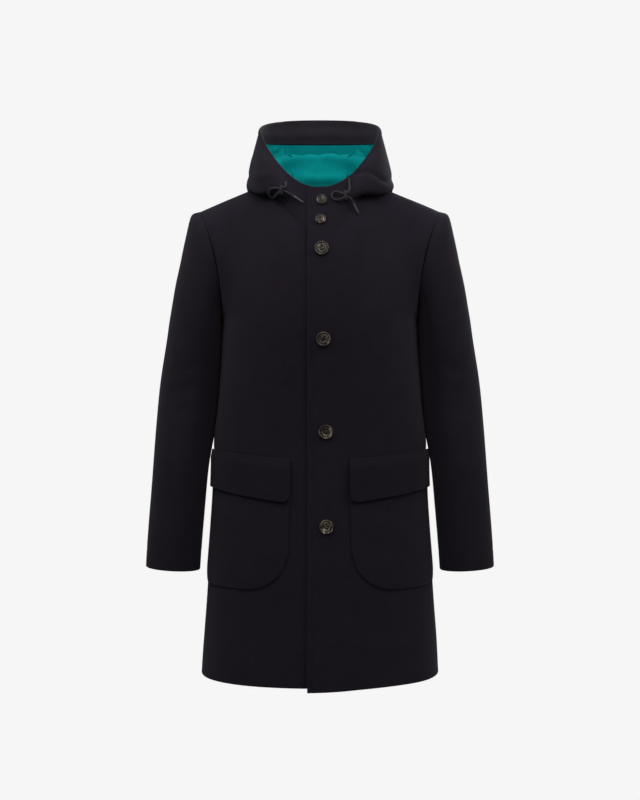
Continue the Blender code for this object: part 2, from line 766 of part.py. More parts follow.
def add_button(collection, finish, button):
    """A turned button with a raised rim, lying on the left front or its throat; scene.py adds its holes."""
    radius = button.radius
    thickness = radius * 0.34
    profile = (
        (0.0, 0.55 * thickness),
        (0.62 * radius, 0.55 * thickness),
        (0.76 * radius, 0.95 * thickness),
        (0.90 * radius, thickness),
        (radius, 0.62 * thickness),
        (0.93 * radius, 0.15 * thickness),
        (0.75 * radius, 0.0),
        (0.0, 0.0),
    )
    data = bpy.data.meshes.new(button.name)
    data.from_pydata(
        [(across, 0.0, up) for across, up in profile],
        [(index, index + 1) for index in range(len(profile) - 1)],
        [],
    )
    made = add_object(button.name, data, collection, finish)
    turned = made.modifiers.new("Turned", "SCREW")
    turned.steps = turned.render_steps = BUTTON_STEPS
    turned.use_merge_vertices = True
    turned.merge_threshold = 0.0001
    if button.z > NECK_FRONT_Z:
        lines = np.linspace(0, RIM_LINE, 65)
        heights = [hood_point(0, line)[2] for line in lines]
        line = np.interp(button.z, heights, lines)
        point, normal = hood_side_surface(1, hood_turn_at(button.x, line), line)
    else:
        levels = np.linspace(0, 2, 129)
        heights = [panel_point(-1, 0, level)[2] for level in levels]
        level = np.interp(button.z, heights, levels)
        point, normal = front_surface(1, column_at(button.x, level), level)
    made.location = Vector(point + normal * BUTTON_GAP)
    made.rotation_euler = Vector(normal).to_track_quat("Z", "Y").to_euler()
    return made


def lengths_along(points):
    """The distance from the first point to each point of a line."""
    steps = np.linalg.norm(np.diff(points, axis=0), axis=1)
    return np.concatenate(((0.0,), np.cumsum(steps)))


def smooth_route(points, count):
    """Evenly spaced points along a smooth curve through a route."""
    points = np.array(points, float)
    keys = lengths_along(points)
    slopes = np.gradient(points, keys, axis=0)
    fine = []
    for at in np.linspace(0, keys[-1], 400):
        span = min(max(bisect_right(list(keys), at) - 1, 0), len(keys) - 2)
        step = keys[span + 1] - keys[span]
        t = (at - keys[span]) / step
        leave, arrive = step * slopes[span], step * slopes[span + 1]
        fine.append(hermite(points[span], points[span + 1], leave, arrive, t))
    fine = np.array(fine)
    lengths = lengths_along(fine)
    wanted = np.linspace(0, lengths[-1], count)
    return np.column_stack([np.interp(wanted, lengths, fine[:, axis]) for axis in range(3)])


def throat_cloth(side):
    """Points and directions out of the cloth on one side of the throat: hood and front."""
    cloth = []
    for turn in np.linspace(8, 96, 67):
        for line in np.linspace(0, RIM_LINE, 81):
            cloth.append(hood_side_surface(side, turn, line))
        for level in np.linspace(1.75, 2.0, 33):
            cloth.append(front_surface(side, neck_column(min(turn, 90)), level))
    return np.array(cloth) * np.array((side, 1.0, 1.0))


def laid_route(side, cord, cloth):
    """A cord's route lying in front of the cloth. side is 1 left, -1 right."""
    route = smooth_route([(place.x, place.off, place.z) for place in cord], 241)
    depths = []
    for x, off, z in route:
        near = cloth[np.hypot(cloth[:, 0, 0] - x, cloth[:, 0, 2] - z) < 0.0028]
        foremost = near[np.argmin(near[:, 0, 1])]
        depths.append(foremost[0, 1] - off / max(abs(foremost[1, 1]), 0.6))
    depths = np.pad(depths, 16, mode="edge")
    foremost = [min(depths[at - 3 : at + 4]) for at in range(5, len(depths) - 5)]
    route[:, 1] = np.convolve(foremost, np.full(23, 1 / 23), mode="valid")
    route[:, 0] *= side
    return route


def add_tube(name, collection, finish, points, radius, closed=False):
    """A cord's round tube through evenly spaced points."""
    data = bpy.data.curves.new(name, "CURVE")
    data.dimensions = "3D"
    data.resolution_u = data.render_resolution_u = 1
    data.bevel_depth = radius
    data.bevel_resolution = 2
    data.use_fill_caps = not closed
    spline = data.splines.new("POLY")
    spline.points.add(len(points) - 1)
    for corner, point in zip(spline.points, points):
        corner.co = (*point, 1.0)
    spline.use_cyclic_u = closed
    return add_object(name, data, collection, finish)


def add_drawcord(word, side, cord, collection, finish, tip_finish):
    """A drawcord with its knot round its two strands and its tapered tip."""
    route = laid_route(side, cord, throat_cloth(side))
    lengths = lengths_along(route)
    end = lengths[-1] - TIP_LENGTH - TIP_GAP

    def along(at):
        return np.array([np.interp(at, lengths, route[:, axis]) for axis in range(3)])

    points = [along(at) for at in np.linspace(0, end, CORD_POINTS)]
    add_tube(f"drawcord_{word}", collection, finish, points, CORD_RADIUS)

    toward = unit(unit(points[-1] - points[-2]) + unit(route[-1] - points[-1]))
    mesh = bmesh.new()
    bmesh.ops.create_cone(
        mesh,
        cap_ends=True,
        segments=14,
        radius1=TIP_RADIUS,
        radius2=TIP_END_RADIUS,
        depth=TIP_LENGTH,
    )
    data = bpy.data.meshes.new(f"drawcord_tip_{word}")
    mesh.to_mesh(data)
    mesh.free()
    tip = add_object(data.name, data, collection, tip_finish)
    tip.location = Vector(points[-1] + toward * (TIP_GAP + TIP_LENGTH / 2))
    tip.rotation_euler = Vector(toward).to_track_quat("Z", "Y").to_euler()

    past = np.abs(route[:, 0]) - KNOT_PLACES[word]
    crossings = [index for index in range(len(past) - 1) if past[index] * past[index + 1] <= 0]
    upper, lower = route[crossings[0]], route[crossings[1]]
    run = route[crossings[0] + 6] - route[crossings[0] - 6]
    run -= route[crossings[1] + 6] - route[crossings[1] - 6]
    apart = unit(upper - lower)
    forward = unit(np.cross(run, apart))
    reach = CORD_RADIUS + KNOT_CLEAR + KNOT_RADIUS
    ring = []
    for centre, start in ((upper, 0.0), (lower, math.pi)):
        for angle in np.linspace(start, start + math.pi, KNOT_POINTS // 2):
            ring.append(centre + (forward * math.cos(angle) + apart * math.sin(angle)) * reach)
    add_tube(f"drawcord_knot_{word}", collection, finish, ring, KNOT_RADIUS, closed=True)


def build():
    clear_scene()
    parka = bpy.data.collections.new("wool_parka")
    bpy.context.scene.collection.children.link(parka)
    wool = material("navy_wool", (0.012, 0.010, 0.014), 0.95, 0.3)
    lining = material("teal_lining", (0.0, 0.17, 0.17), 0.45)
    horn = material("brown_horn", (0.10, 0.07, 0.045), 0.35)
    add_body(parka, wool)
    add_sleeves(parka, wool)
    add_hood(parka, wool, lining)
    add_pockets(parka, wool)
    add_flaps(parka, wool)
    for button in BUTTONS:
        add_button(parka, horn, button)
    cord = material("charcoal_cord", (0.030, 0.028, 0.031), 0.8)
    tip = material("dark_cord_tip", (0.045, 0.042, 0.045), 0.55)
    add_drawcord("left", 1, CORD_LEFT, parka, cord, tip)
    add_drawcord("right", -1, CORD_RIGHT, parka, cord, tip)


build()
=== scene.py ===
"""Hooded wool parka, the looks. Metres, +Z up, the front faces -Y, the origin at the neck's base.

Every piece of cloth is a thin shell that follows its solid: a smooth surface through nearly the
same sections, with folds from listed tables pressed in, its edges turned and its seams
drawn in.
"""

import math
from collections import namedtuple

import bmesh
import bpy
import numpy as np
from mathutils import Matrix, Vector


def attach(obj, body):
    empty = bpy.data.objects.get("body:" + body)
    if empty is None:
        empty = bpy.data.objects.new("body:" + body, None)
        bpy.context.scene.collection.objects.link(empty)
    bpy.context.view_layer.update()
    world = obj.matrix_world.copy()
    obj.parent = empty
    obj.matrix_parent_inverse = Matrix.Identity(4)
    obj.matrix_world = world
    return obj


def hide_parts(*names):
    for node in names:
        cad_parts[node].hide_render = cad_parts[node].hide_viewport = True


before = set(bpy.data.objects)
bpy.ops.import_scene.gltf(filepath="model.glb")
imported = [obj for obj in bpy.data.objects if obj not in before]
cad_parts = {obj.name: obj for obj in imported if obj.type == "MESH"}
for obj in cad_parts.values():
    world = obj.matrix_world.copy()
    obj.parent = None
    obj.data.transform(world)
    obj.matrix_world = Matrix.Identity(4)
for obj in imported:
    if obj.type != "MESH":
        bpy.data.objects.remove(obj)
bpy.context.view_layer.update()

# Cloth thicknesses and the gaps between layers
WOOL = 0.0025
FACING_CLOTH = 0.0018
LINING_CLOTH = 0.0010
LAYER_GAP = 0.0004
PATCH_GAP = 0.0009
FLAP_GAP = 0.0008

# The body
HEM_Z = -0.887
CHEST_Z = -0.240
LAP_EDGE = 0.0225
LAP_LIFT = WOOL + 0.0006
LAP_FLARE = 0.0035
FLARE_START_Z = -0.70
LAP_HOLD_ENDS = (0.030, 0.075)
LAP_FLARE_END = 0.050
LAP_DROP = 0.006
LAP_DROP_ACROSS = (-0.02, 0.16)
LAP_DROP_LEVELS = (0.0, 0.25)
NECK_COLUMN = 4
SIDE_COLUMN = 9
NECK_BASE_TURN = 30.0
ARM_BLEND_COLUMN = 5.4
FRONT_LEAN = 16.0
BACK_LEAN = 22.0
NECK_REACH = 0.30
SHOULDER_REACH = 0.19
KNEE_RISE = 0.4
RISE_ABOVE_CHEST = 0.235

# Neck seam, shoulder and armhole
NECK_HALF_WIDTH = 0.093
NECK_CENTRE_Y = -0.020
NECK_DEPTH = 0.102
NECK_FRONT_Z = -0.087
NECK_SIDE_Z = 0.0095
NECK_BACK_Z = 0.018
SHOULDER_TIP = np.array((0.2205, 0.0, -0.0410))
UNDERARM = np.array((0.1777, 0.0, CHEST_Z))
ARMHOLE_DEPTH = 0.072
ARMHOLE_SCOOP_FRONT = 0.0125
ARMHOLE_SCOOP_BACK = 0.0080

# Sleeve and hood
TOP_SLEEVE_TURN = 120
HOOD_SEAM_TURN = 145
HOOD_SIDE_TURN = 80.0
HOOD_BACK_TURN = 180.0
LINING_START_TURN = 0.2
FACING_TURNS = (0.3, 359.7)
SPREAD_START_TURN = 14.0
SPREAD_END_TURN = 62.0
FOLD_START_TURN = 24.0
FOLD_END_TURN = 60.0
FRONT_SWEEP = 1.7
FACING_LINE = 7.42
FACING_SEAM = 0.015
RIM_LINE = 8.0
FACING_TOP_LINE = RIM_LINE - 0.02
FACING_ROWS = 12
RIM_ROLL_START = (0.040, 0.075)
LAP_FADE = 0.010
LINING_SEAM = 0.006
LINING_CLEAR = 0.0001

# Pockets and flaps
COLUMN_WIDTH = 0.036
POCKET_EDGE_X = 0.054
POCKET_SIDE_COLUMN = 8.5
POCKET_TOP_Z = -0.510
POCKET_BOTTOM_Z = -0.721
POCKET_CORNER = 0.068
POCKET_SIDE_CORNER = 0.034
POCKET_WALL = 0.0022
POCKET_EDGE_LEVEL = 0.4
POCKET_PUFF_START = 0.05
FLAP_EDGE_X = 0.052
FLAP_SIDE_COLUMN = 8.35
FLAP_TOP_Z = -0.4915
FLAP_TOP_RISE = 0.0145
FLAP_BOTTOM_Z = -0.5670
FLAP_BOTTOM_RISE = 0.0210
FLAP_CORNER = 0.012
FLAP_WALL = 0.0026
FLAP_STEP = 0.016
FLAP_STAND = 0.0022
FLAP_STAND_LOSS = 0.4
FLAP_EDGE_LEVEL = 0.6

# Drawcords
CORD_RADIUS = 0.0018
CORD_OFF = 0.0015
KNOT_OFF = 0.0060
EXIT_OFF = 0.0013
KNOT_RADIUS = 0.0016
TIP_LENGTH = 0.020
TIP_GAP = 0.0008
TIP_OVER_CORD = 0.0006

# Grids of the fine cloth, and the lines close to an edge that turn it round
STEP = 0.0042
HOOD_STEP = 0.0034
FACING_STEP = 0.0035
LINING_STEP = 0.0024
EDGE = (0.0, 0.00025, 0.0007, 0.0013, 0.0021, 0.0032)
# The even grids that the folds are pressed into, where they are finer than STEP
HOOD_ACROSS = 0.0035
FOLD_STEP = 0.0030
FLAP_FOLD_STEP = 0.0025
LINING_FOLD_STEP = 0.0022

FORWARD = np.array((0.0, -1.0, 0.0))
SIDES = (("left", 1), ("right", -1))

# How tall and wide the cloth of each grid is taken to be
Span = namedtuple("Span", "tall wide")
SPANS = {
    "front": Span(0.882, 0.30),
    "back": Span(0.882, 0.56),
    "hood_side": Span(0.36, 0.34),
    "hood_centre": Span(0.46, 0.14),
    "hood_lining": Span(0.36, 0.30),
    "hood_lining_centre": Span(0.36, 0.13),
    "hood_facing": Span(0.028, 0.80),
    "pocket": Span(0.211, 0.185),
    "flap": Span(0.075, 0.185),
}

# A sleeve's two pieces: the turns where each starts and ends, and how wide it is taken to be
SleevePart = namedtuple("SleevePart", "start end wide")
SLEEVE_PARTS = {
    "top": SleevePart(-TOP_SLEEVE_TURN, TOP_SLEEVE_TURN, 0.31),
    "under": SleevePart(TOP_SLEEVE_TURN, 360 - TOP_SLEEVE_TURN, 0.16),
}

# Edges and seams: how round they turn, how deep and wide they sink, and how much less at the
# shoulder's tip
FLAT_TURN = 0.0003
SEAM_TURN = 0.0013
SEAM_SINK = 0.00045
SEAM_SPREAD = 0.0055
TIP_SOFTENING = 0.8
TIP_HEIGHTS = (-0.110, -0.075)
TIP_REACHES = (0.160, 0.190)

# How a grid is made smooth: the passes, the levels where draping starts and ends, and the
# columns from the sides over which draping and waves fade in
RELAX_TIMES = 30
RELAX_AMOUNTS = (0.5, -0.52)
DRAPE_TIMES = 40
DRAPE_START = (0.80, 1.0)
DRAPE_END = (2.0, 1.86)
DRAPE_FADE = (0, 12)
WAVE_FADE = (1, 14)

# Hems, puckers and the fullness of what is sewn down
HEM_DEPTH = 0.036
CUFF_DEPTH = 0.032
HEM_LAYER = 0.0018
HEM_LAYER_END = 0.0016
HEM_STITCH_HEIGHT = 0.029
HEM_STITCH_SWAY = 0.003
PUCKER_DEPTH = 0.0005
PUCKER_TALL = 0.0017
PUCKER_WIDE = 0.0065
LINING_PUFF = 0.0010
POCKET_PUFF = 0.0008
RIM_OVER = (0.0022, 0.0036)

# Soft ridges beside an edge, or grooves where the height is below 0
TOPSTITCH = 0.009
Ridge = namedtuple("Ridge", "height place width")
LAP_ROLL = Ridge(0.0011, 0.0034, 0.0030)
RIM_ROLL = Ridge(0.0014, 0.0045, 0.0035)
STITCH_GROOVE = Ridge(-0.0006, TOPSTITCH, 0.0009)
UNDER_LAP = Ridge(-0.0012, 0.0010, 0.0016)
CUFF_LINE = Ridge(-0.0004, CUFF_DEPTH, 0.0022)
POCKET_SEAM = Ridge(-0.0006, 0.0, 0.0040)


def named_rows(columns, *rows):
    """A table of numbers whose columns have names."""
    row_kind = namedtuple("Row", columns)
    return [row_kind(*row) for row in rows]


BODY = named_rows(
    "height half_width front back fullness",
    (-0.8870, 0.2180, 0.156, 0.146, 2.30),
    (-0.8300, 0.2152, 0.151, 0.143, 2.25),
    (-0.7600, 0.2102, 0.145, 0.139, 2.20),
    (-0.6850, 0.2054, 0.142, 0.134, 2.25),
    (-0.6100, 0.1995, 0.138, 0.128, 2.30),
    (-0.5550, 0.1956, 0.135, 0.124, 2.35),
    (-0.5000, 0.1943, 0.133, 0.121, 2.40),
    (-0.4625, 0.1955, 0.132, 0.120, 2.40),
    (-0.4200, 0.1905, 0.132, 0.120, 2.45),
    (-0.3700, 0.1855, 0.134, 0.122, 2.50),
    (-0.3200, 0.1812, 0.137, 0.127, 2.50),
    (-0.2750, 0.1790, 0.140, 0.131, 2.50),
    (-0.2400, 0.1777, 0.141, 0.133, 2.50),
)

SLEEVE = named_rows(
    "station outer_x outer_z inner_x inner_z half_depth centre_y scoop",
    (0, 0.2209, -0.0410, 0.1784, -0.2400, 0.0720, 0.000, 0.0125),
    (1, 0.2352, -0.0460, 0.1788, -0.2440, 0.0735, 0.000, 0.0105),
    (2, 0.2404, -0.0580, 0.1792, -0.2500, 0.0750, 0.000, 0.0080),
    (3, 0.2440, -0.0740, 0.1796, -0.2580, 0.0755, 0.000, 0.0060),
    (4, 0.2562, -0.1300, 0.1804, -0.2800, 0.0770, 0.001, 0.0030),
    (5, 0.2722, -0.2000, 0.1818, -0.3120, 0.0770, 0.002, 0.0010),
    (6, 0.2827, -0.2800, 0.1840, -0.3520, 0.0745, 0.001, 0.0),
    (7, 0.2922, -0.3500, 0.1870, -0.3900, 0.0715, -0.002, 0.0),
    (8, 0.2987, -0.4200, 0.1924, -0.4400, 0.0690, -0.009, 0.0),
    (9, 0.3052, -0.5000, 0.2036, -0.5080, 0.0650, -0.019, 0.0),
    (10, 0.3120, -0.5900, 0.2113, -0.5940, 0.0590, -0.024, 0.0),
    (11, 0.3157, -0.6540, 0.2163, -0.6590, 0.0545, -0.028, 0.0),
    (12, 0.3172, -0.6910, 0.2188, -0.6975, 0.0520, -0.030, 0.0),
)

HOOD = named_rows(
    "share half_width front_y side_y back_y front_z side_z back_z fullness sweep",
    (0.09, 0.0950, -0.124, -0.016, 0.090, -0.064, 0.0290, 0.0500, 2.0, 1.3),
    (0.18, 0.1010, -0.126, -0.010, 0.101, -0.050, 0.0400, 0.0780, 2.0, 1.3),
    (0.27, 0.1100, -0.133, 0.000, 0.116, -0.055, 0.0230, 0.0300, 2.0, 1.3),
    (0.36, 0.1240, -0.140, 0.008, 0.138, -0.059, 0.0006, -0.0650, 2.0, 1.3),
    (0.45, 0.1350, -0.152, 0.012, 0.175, -0.056, 0.0018, -0.0700, 2.0, 1.3),
    (0.54, 0.1335, -0.151, 0.014, 0.198, -0.030, 0.0290, 0.0000, 2.1, 1.2),
    (0.63, 0.1240, -0.130, 0.015, 0.186, 0.000, 0.0700, 0.0850, 2.2, 1.0),
    (1.00, 0.1125, -0.100, 0.015, 0.180, -0.012, 0.1145, 0.1690, 2.3, 0.86),
)

CORD_LEFT = named_rows(
    "x z off",
    (0.0511, 0.0050, EXIT_OFF), (0.0522, -0.0060, CORD_OFF), (0.0522, -0.0150, 0.0040),
    (0.0502, -0.0222, 0.0060), (0.0443, -0.0262, KNOT_OFF), (0.0369, -0.0238, 0.0055),
    (0.0293, -0.0212, 0.0035), (0.0225, -0.0238, CORD_OFF), (0.0208, -0.0298, CORD_OFF),
    (0.0255, -0.0350, CORD_OFF), (0.0330, -0.0362, 0.0035), (0.0395, -0.0338, 0.0055),
    (0.0450, -0.0308, KNOT_OFF), (0.0505, -0.0318, 0.0055), (0.0548, -0.0355, 0.0035),
    (0.0594, -0.0430, 0.0042), (0.0681, -0.0600, 0.0058),
)
CORD_RIGHT = named_rows(
    "x z off",
    (0.0604, -0.0030, EXIT_OFF - 0.0014), (0.0605, -0.0095, 0.0026), (0.0632, -0.0142, 0.0060),
    (0.0690, -0.0160, KNOT_OFF), (0.0757, -0.0150, 0.0048), (0.0828, -0.0143, 0.0028),
    (0.0893, -0.0170, CORD_OFF), (0.0908, -0.0232, CORD_OFF), (0.0862, -0.0286, CORD_OFF),
    (0.0795, -0.0278, 0.0035), (0.0743, -0.0238, 0.0055), (0.0686, -0.0206, KNOT_OFF),
    (0.0624, -0.0208, 0.0055), (0.0559, -0.0236, 0.0035), (0.0482, -0.0283, 0.0035),
    (0.0293, -0.0412, 0.0035),
)
KNOT_PLACES = {"left": 0.0446, "right": 0.0688}


# --- curves and small helpers ---------------------------------------------------------------


def place(x, y, z):
    """Points from their coordinates, which may be arrays or single numbers."""
    return np.stack(np.broadcast_arrays(x, y, z), axis=-1).astype(float)


def hermite(start, end, leave, arrive, t):
    """A smooth curve from start to end that leaves and arrives along two directions."""
    return (
        (2 * t**3 - 3 * t**2 + 1) * start
        + (t**3 - 2 * t**2 + t) * leave
        + (3 * t**2 - 2 * t**3) * end
        + (t**3 - t**2) * arrive
    )


def through(keys, values, at):
    """Values at some keys, on a smooth curve through a row of values."""
    keys = np.asarray(keys, float)
    values = np.asarray(values, float)
    slopes = np.gradient(values, keys, axis=0)
    span = np.clip(np.searchsorted(keys, at, side="right") - 1, 0, len(keys) - 2)
    step = keys[span + 1] - keys[span]
    t = (at - keys[span]) / step
    if values.ndim > 1:
        step = step[..., None]
        t = t[..., None]
    return hermite(
        values[span], values[span + 1], step * slopes[span], step * slopes[span + 1], t
    )


def read(table, column, at):
    """A table's column at some keys, on a smooth curve through its rows."""
    return through([row[0] for row in table], [getattr(row, column) for row in table], at)


def ease(low, high, at):
    """0 below low, 1 above high, and a soft step between them."""
    t = np.clip((at - low) / (high - low), 0.0, 1.0)
    return t * t * (3 - 2 * t)


def unit(vectors):
    return vectors / np.maximum(np.linalg.norm(vectors, axis=-1, keepdims=True), 1e-12)


def sided(points, side):
    """The same points, on the other side of the coat where side is -1."""
    return points * place(side, 1.0, 1.0)


def lengths_along(points):
    """The distance along a line from its first point to each of its points."""
    steps = np.linalg.norm(np.diff(points, axis=0), axis=1)
    return np.concatenate(((0.0,), np.cumsum(steps)))


def points_along(line, wanted):
    """Points of a line at distances along it."""
    lengths = lengths_along(line)
    return np.column_stack([np.interp(wanted, lengths, line[:, axis]) for axis in range(3)])


def moved(points, toward, amount):
    """Points moved along their directions, each by its own amount."""
    return points + toward * np.asarray(amount, float)[..., None]


def bell(distance, width):
    """1 at no distance, falling softly to nothing over about two widths."""
    return np.exp(-((distance / width) ** 2))


def ridge(shape, distance):
    """A ridge's height at a distance from the edge that it runs along."""
    return shape.height * bell(distance - shape.place, shape.width)


# --- the body's surface ---------------------------------------------------------------------


def neck_point(turn):
    """The neck seam, from 0 degrees at the centre front to 180 at the centre back."""
    across = np.sin(np.radians(turn))
    along = np.cos(np.radians(turn))
    end_z = np.where(along > 0, NECK_FRONT_Z, NECK_BACK_Z)
    return place(
        NECK_HALF_WIDTH * across,
        NECK_CENTRE_Y - NECK_DEPTH * along,
        NECK_SIDE_Z + (end_z - NECK_SIDE_Z) * along**2,
    )


def armhole_point(turn):
    """The armhole seam: 0 degrees at the shoulder tip, 90 in front, 180 under the arm."""
    across = np.sin(np.radians(turn))
    along = np.cos(np.radians(turn))
    scoop = np.where(across > 0, ARMHOLE_SCOOP_FRONT, ARMHOLE_SCOOP_BACK)
    middle = (SHOULDER_TIP + UNDERARM) / 2
    half = (SHOULDER_TIP - UNDERARM) / 2
    return (
        middle + half * along[..., None] + place(-scoop * across**2, -ARMHOLE_DEPTH * across, 0.0)
    )


def body_ring_point(face, column, height):
    """A point on the body at a height between the hem and the chest."""
    turn = np.interp(column, (0, NECK_COLUMN, SIDE_COLUMN), (0, NECK_BASE_TURN, 90))
    share = np.sin(np.radians(turn))
    fullness = read(BODY, "fullness", height)
    depth = read(BODY, "front" if face < 0 else "back", height)
    inward = np.maximum(1.0 - share**fullness, 0.0) ** (1.0 / fullness)
    return place(share * read(BODY, "half_width", height), face * depth * inward, height)


def column_top(face, column):
    """Where a column ends: on the neck seam or on the shoulder seam."""
    turn = 90.0 * np.minimum(column, NECK_COLUMN) / NECK_COLUMN
    on_neck = neck_point(turn if face < 0 else 180.0 - turn)
    share = np.clip((column - NECK_COLUMN) / (SIDE_COLUMN - NECK_COLUMN), 0, 1)[..., None]
    return on_neck * (1 - share) + SHOULDER_TIP * share


def rising_point(face, column, t):
    """A column above the chest, t from 0 at chest level to 1 at its top, with no armhole cut."""
    base = body_ring_point(face, column, np.full(np.shape(column), CHEST_Z))
    top = column_top(face, column)
    toward_shoulder = np.minimum(column / NECK_COLUMN, 1.0) ** 2
    centre_lean = FRONT_LEAN if face < 0 else BACK_LEAN
    lean = np.radians(centre_lean + (90.0 - centre_lean) * toward_shoulder)
    arrive = place(0.0, -face * np.sin(lean), np.cos(lean))
    reach = NECK_REACH + (SHOULDER_REACH - NECK_REACH) * toward_shoulder
    length = np.linalg.norm(top - base, axis=-1)
    knee = base + place(0.0, 0.0, KNEE_RISE * (top[..., 2] - base[..., 2]))
    brow = top - arrive * (length * reach)[..., None]
    t = t[..., None]
    return (
        (1 - t) ** 3 * base + 3 * t * (1 - t) ** 2 * knee + 3 * t**2 * (1 - t) * brow + t**3 * top
    )


def panel_point(face, column, level):
    """The body's outer face: level 0 at the hem, 1 at the chest, 2 at the panel's top edge.

    The last column is the side seam up to the chest, and the armhole seam above it.
    """
    column, level = np.broadcast_arrays(np.asarray(column, float), np.asarray(level, float))
    side = np.where(column < 0, -1.0, 1.0)
    column = np.abs(column)
    height = HEM_Z + np.minimum(level, 1.0) * (CHEST_Z - HEM_Z)
    low = body_ring_point(face, column, height)
    t = np.clip(level - 1.0, 0.0, 1.0)
    high = rising_point(face, column, t)
    blend = np.clip((column - ARM_BLEND_COLUMN) / (SIDE_COLUMN - ARM_BLEND_COLUMN), 0.0, 1.0)
    armhole = armhole_point(-face * 180.0 * (1.0 - t))
    cut = armhole - rising_point(face, np.full(column.shape, float(SIDE_COLUMN)), t)
    high = high + (blend * blend * (2 - blend))[..., None] * cut
    return np.where((level <= 1.0)[..., None], low, high) * place(side, 1.0, 1.0)


def panel_normal(face, column, level):
    """The direction out of the cloth. On the shoulder seam it is the shoulder's own."""
    column, level = np.broadcast_arrays(np.asarray(column, float), np.asarray(level, float))
    step = 0.01
    low = np.where(np.abs(column - NECK_COLUMN) < step, NECK_COLUMN, column - step)
    high = np.minimum(column + step, SIDE_COLUMN)
    down, up = np.maximum(level - step, 0.0), np.minimum(level + step, 2.0)
    across = panel_point(face, high, level) - panel_point(face, low, level)
    along = panel_point(face, column, up) - panel_point(face, column, down)
    return unit(np.cross(across, along) * -face)


def lap_lift(x, height):
    """How far the left front stands off the right one, x being its own side's positive."""
    hold = LAP_LIFT * (1 - ease(*LAP_HOLD_ENDS, x))
    flare = LAP_FLARE * (1 - ease(HEM_Z, FLARE_START_Z, height))
    return hold + flare * (1 - ease(-LAP_EDGE, LAP_FLARE_END, x))


def front_surface(side, column, level, out=0.0):
    """A front's outer face moved out, with the direction out of it. side is 1 left, -1 right."""
    point = panel_point(-1, column, level)
    normal = panel_normal(-1, column, level)
    if side > 0:
        point = moved(point, FORWARD, lap_lift(point[..., 0], point[..., 2]))
        drop = LAP_DROP * (1 - ease(*LAP_DROP_ACROSS, point[..., 0]))
        drop = drop * (1 - ease(*LAP_DROP_LEVELS, level))
        point = point - place(0.0, 0.0, drop)
    return sided(moved(point, normal, out), side), sided(normal, side)


def column_at(x, level):
    """The front's column that stands at a distance x from the centre line, at each level."""
    columns = np.linspace(0, NECK_COLUMN, 17)
    level = np.atleast_1d(level)
    places = panel_point(-1, columns[None, :], level[:, None])[..., 0]
    return np.array([np.interp(abs(x), row, columns) for row in places]) * np.sign(x)


def level_at(height):
    """The level of a height between the hem and the chest."""
    return (height - HEM_Z) / (CHEST_Z - HEM_Z)


def level_of(share):
    """The level at a share of a panel's whole height, hem to top edge."""
    chest = (CHEST_Z - HEM_Z) / (CHEST_Z - HEM_Z + RISE_ABOVE_CHEST)
    return np.interp(share, (0.0, chest, 1.0), (0.0, 1.0, 2.0))


# --- the sleeve's and the hood's surfaces ---------------------------------------------------


def sleeve_point(turn, station):
    """The sleeve's outer face: turn 0 on the outside, 90 in front, 180 against the body."""
    turn, station = np.broadcast_arrays(np.asarray(turn, float), np.asarray(station, float))
    outer = place(read(SLEEVE, "outer_x", station), 0.0, read(SLEEVE, "outer_z", station))
    inner = place(read(SLEEVE, "inner_x", station), 0.0, read(SLEEVE, "inner_z", station))
    across = np.sin(np.radians(turn))
    along = np.cos(np.radians(turn))[..., None]
    scoop = read(SLEEVE, "scoop", station) * across**2
    scoop = scoop * np.where(across < 0, ARMHOLE_SCOOP_BACK / ARMHOLE_SCOOP_FRONT, 1.0)
    depth = read(SLEEVE, "half_depth", station) * across
    shift = place(-scoop, read(SLEEVE, "centre_y", station) - depth, 0.0)
    return (outer + inner) / 2 + (outer - inner) / 2 * along + shift


def hood_ring_point(ring, turn):
    """A point on one ring of the hood, flattened toward its back corners by its fullness."""
    along = np.cos(np.radians(turn))
    front = along > 0
    share = np.abs(along)
    bent = np.maximum(1.0 - share**ring.fullness, 0.0) ** (1.0 / ring.fullness)
    across = np.where(front, np.sin(np.radians(turn)), bent)
    end_y = np.where(front, ring.front_y, ring.back_y)
    end_z = np.where(front, ring.front_z, ring.back_z)
    rise = np.where(front, share**FRONT_SWEEP, share**ring.sweep)
    return place(
        ring.half_width * across,
        ring.side_y + (end_y - ring.side_y) * share,
        ring.side_z + (end_z - ring.side_z) * rise,
    )


def hood_knots(turn):
    """The points of the hood's path at each turn round the neck: seam, folds and rim."""
    neck = neck_point(turn)
    rim_point = hood_ring_point(HOOD[-1], turn)
    spread = ease(SPREAD_START_TURN, SPREAD_END_TURN, turn)
    fold = ease(FOLD_START_TURN, FOLD_END_TURN, turn)
    amount = place(spread, spread, fold)
    knots = [neck]
    for ring in HOOD[:-1]:
        upright = neck + (rim_point - neck) * ring.share
        knots.append(upright * (1 - amount) + hood_ring_point(ring, turn) * amount)
    knots.append(rim_point)
    return np.array(knots)


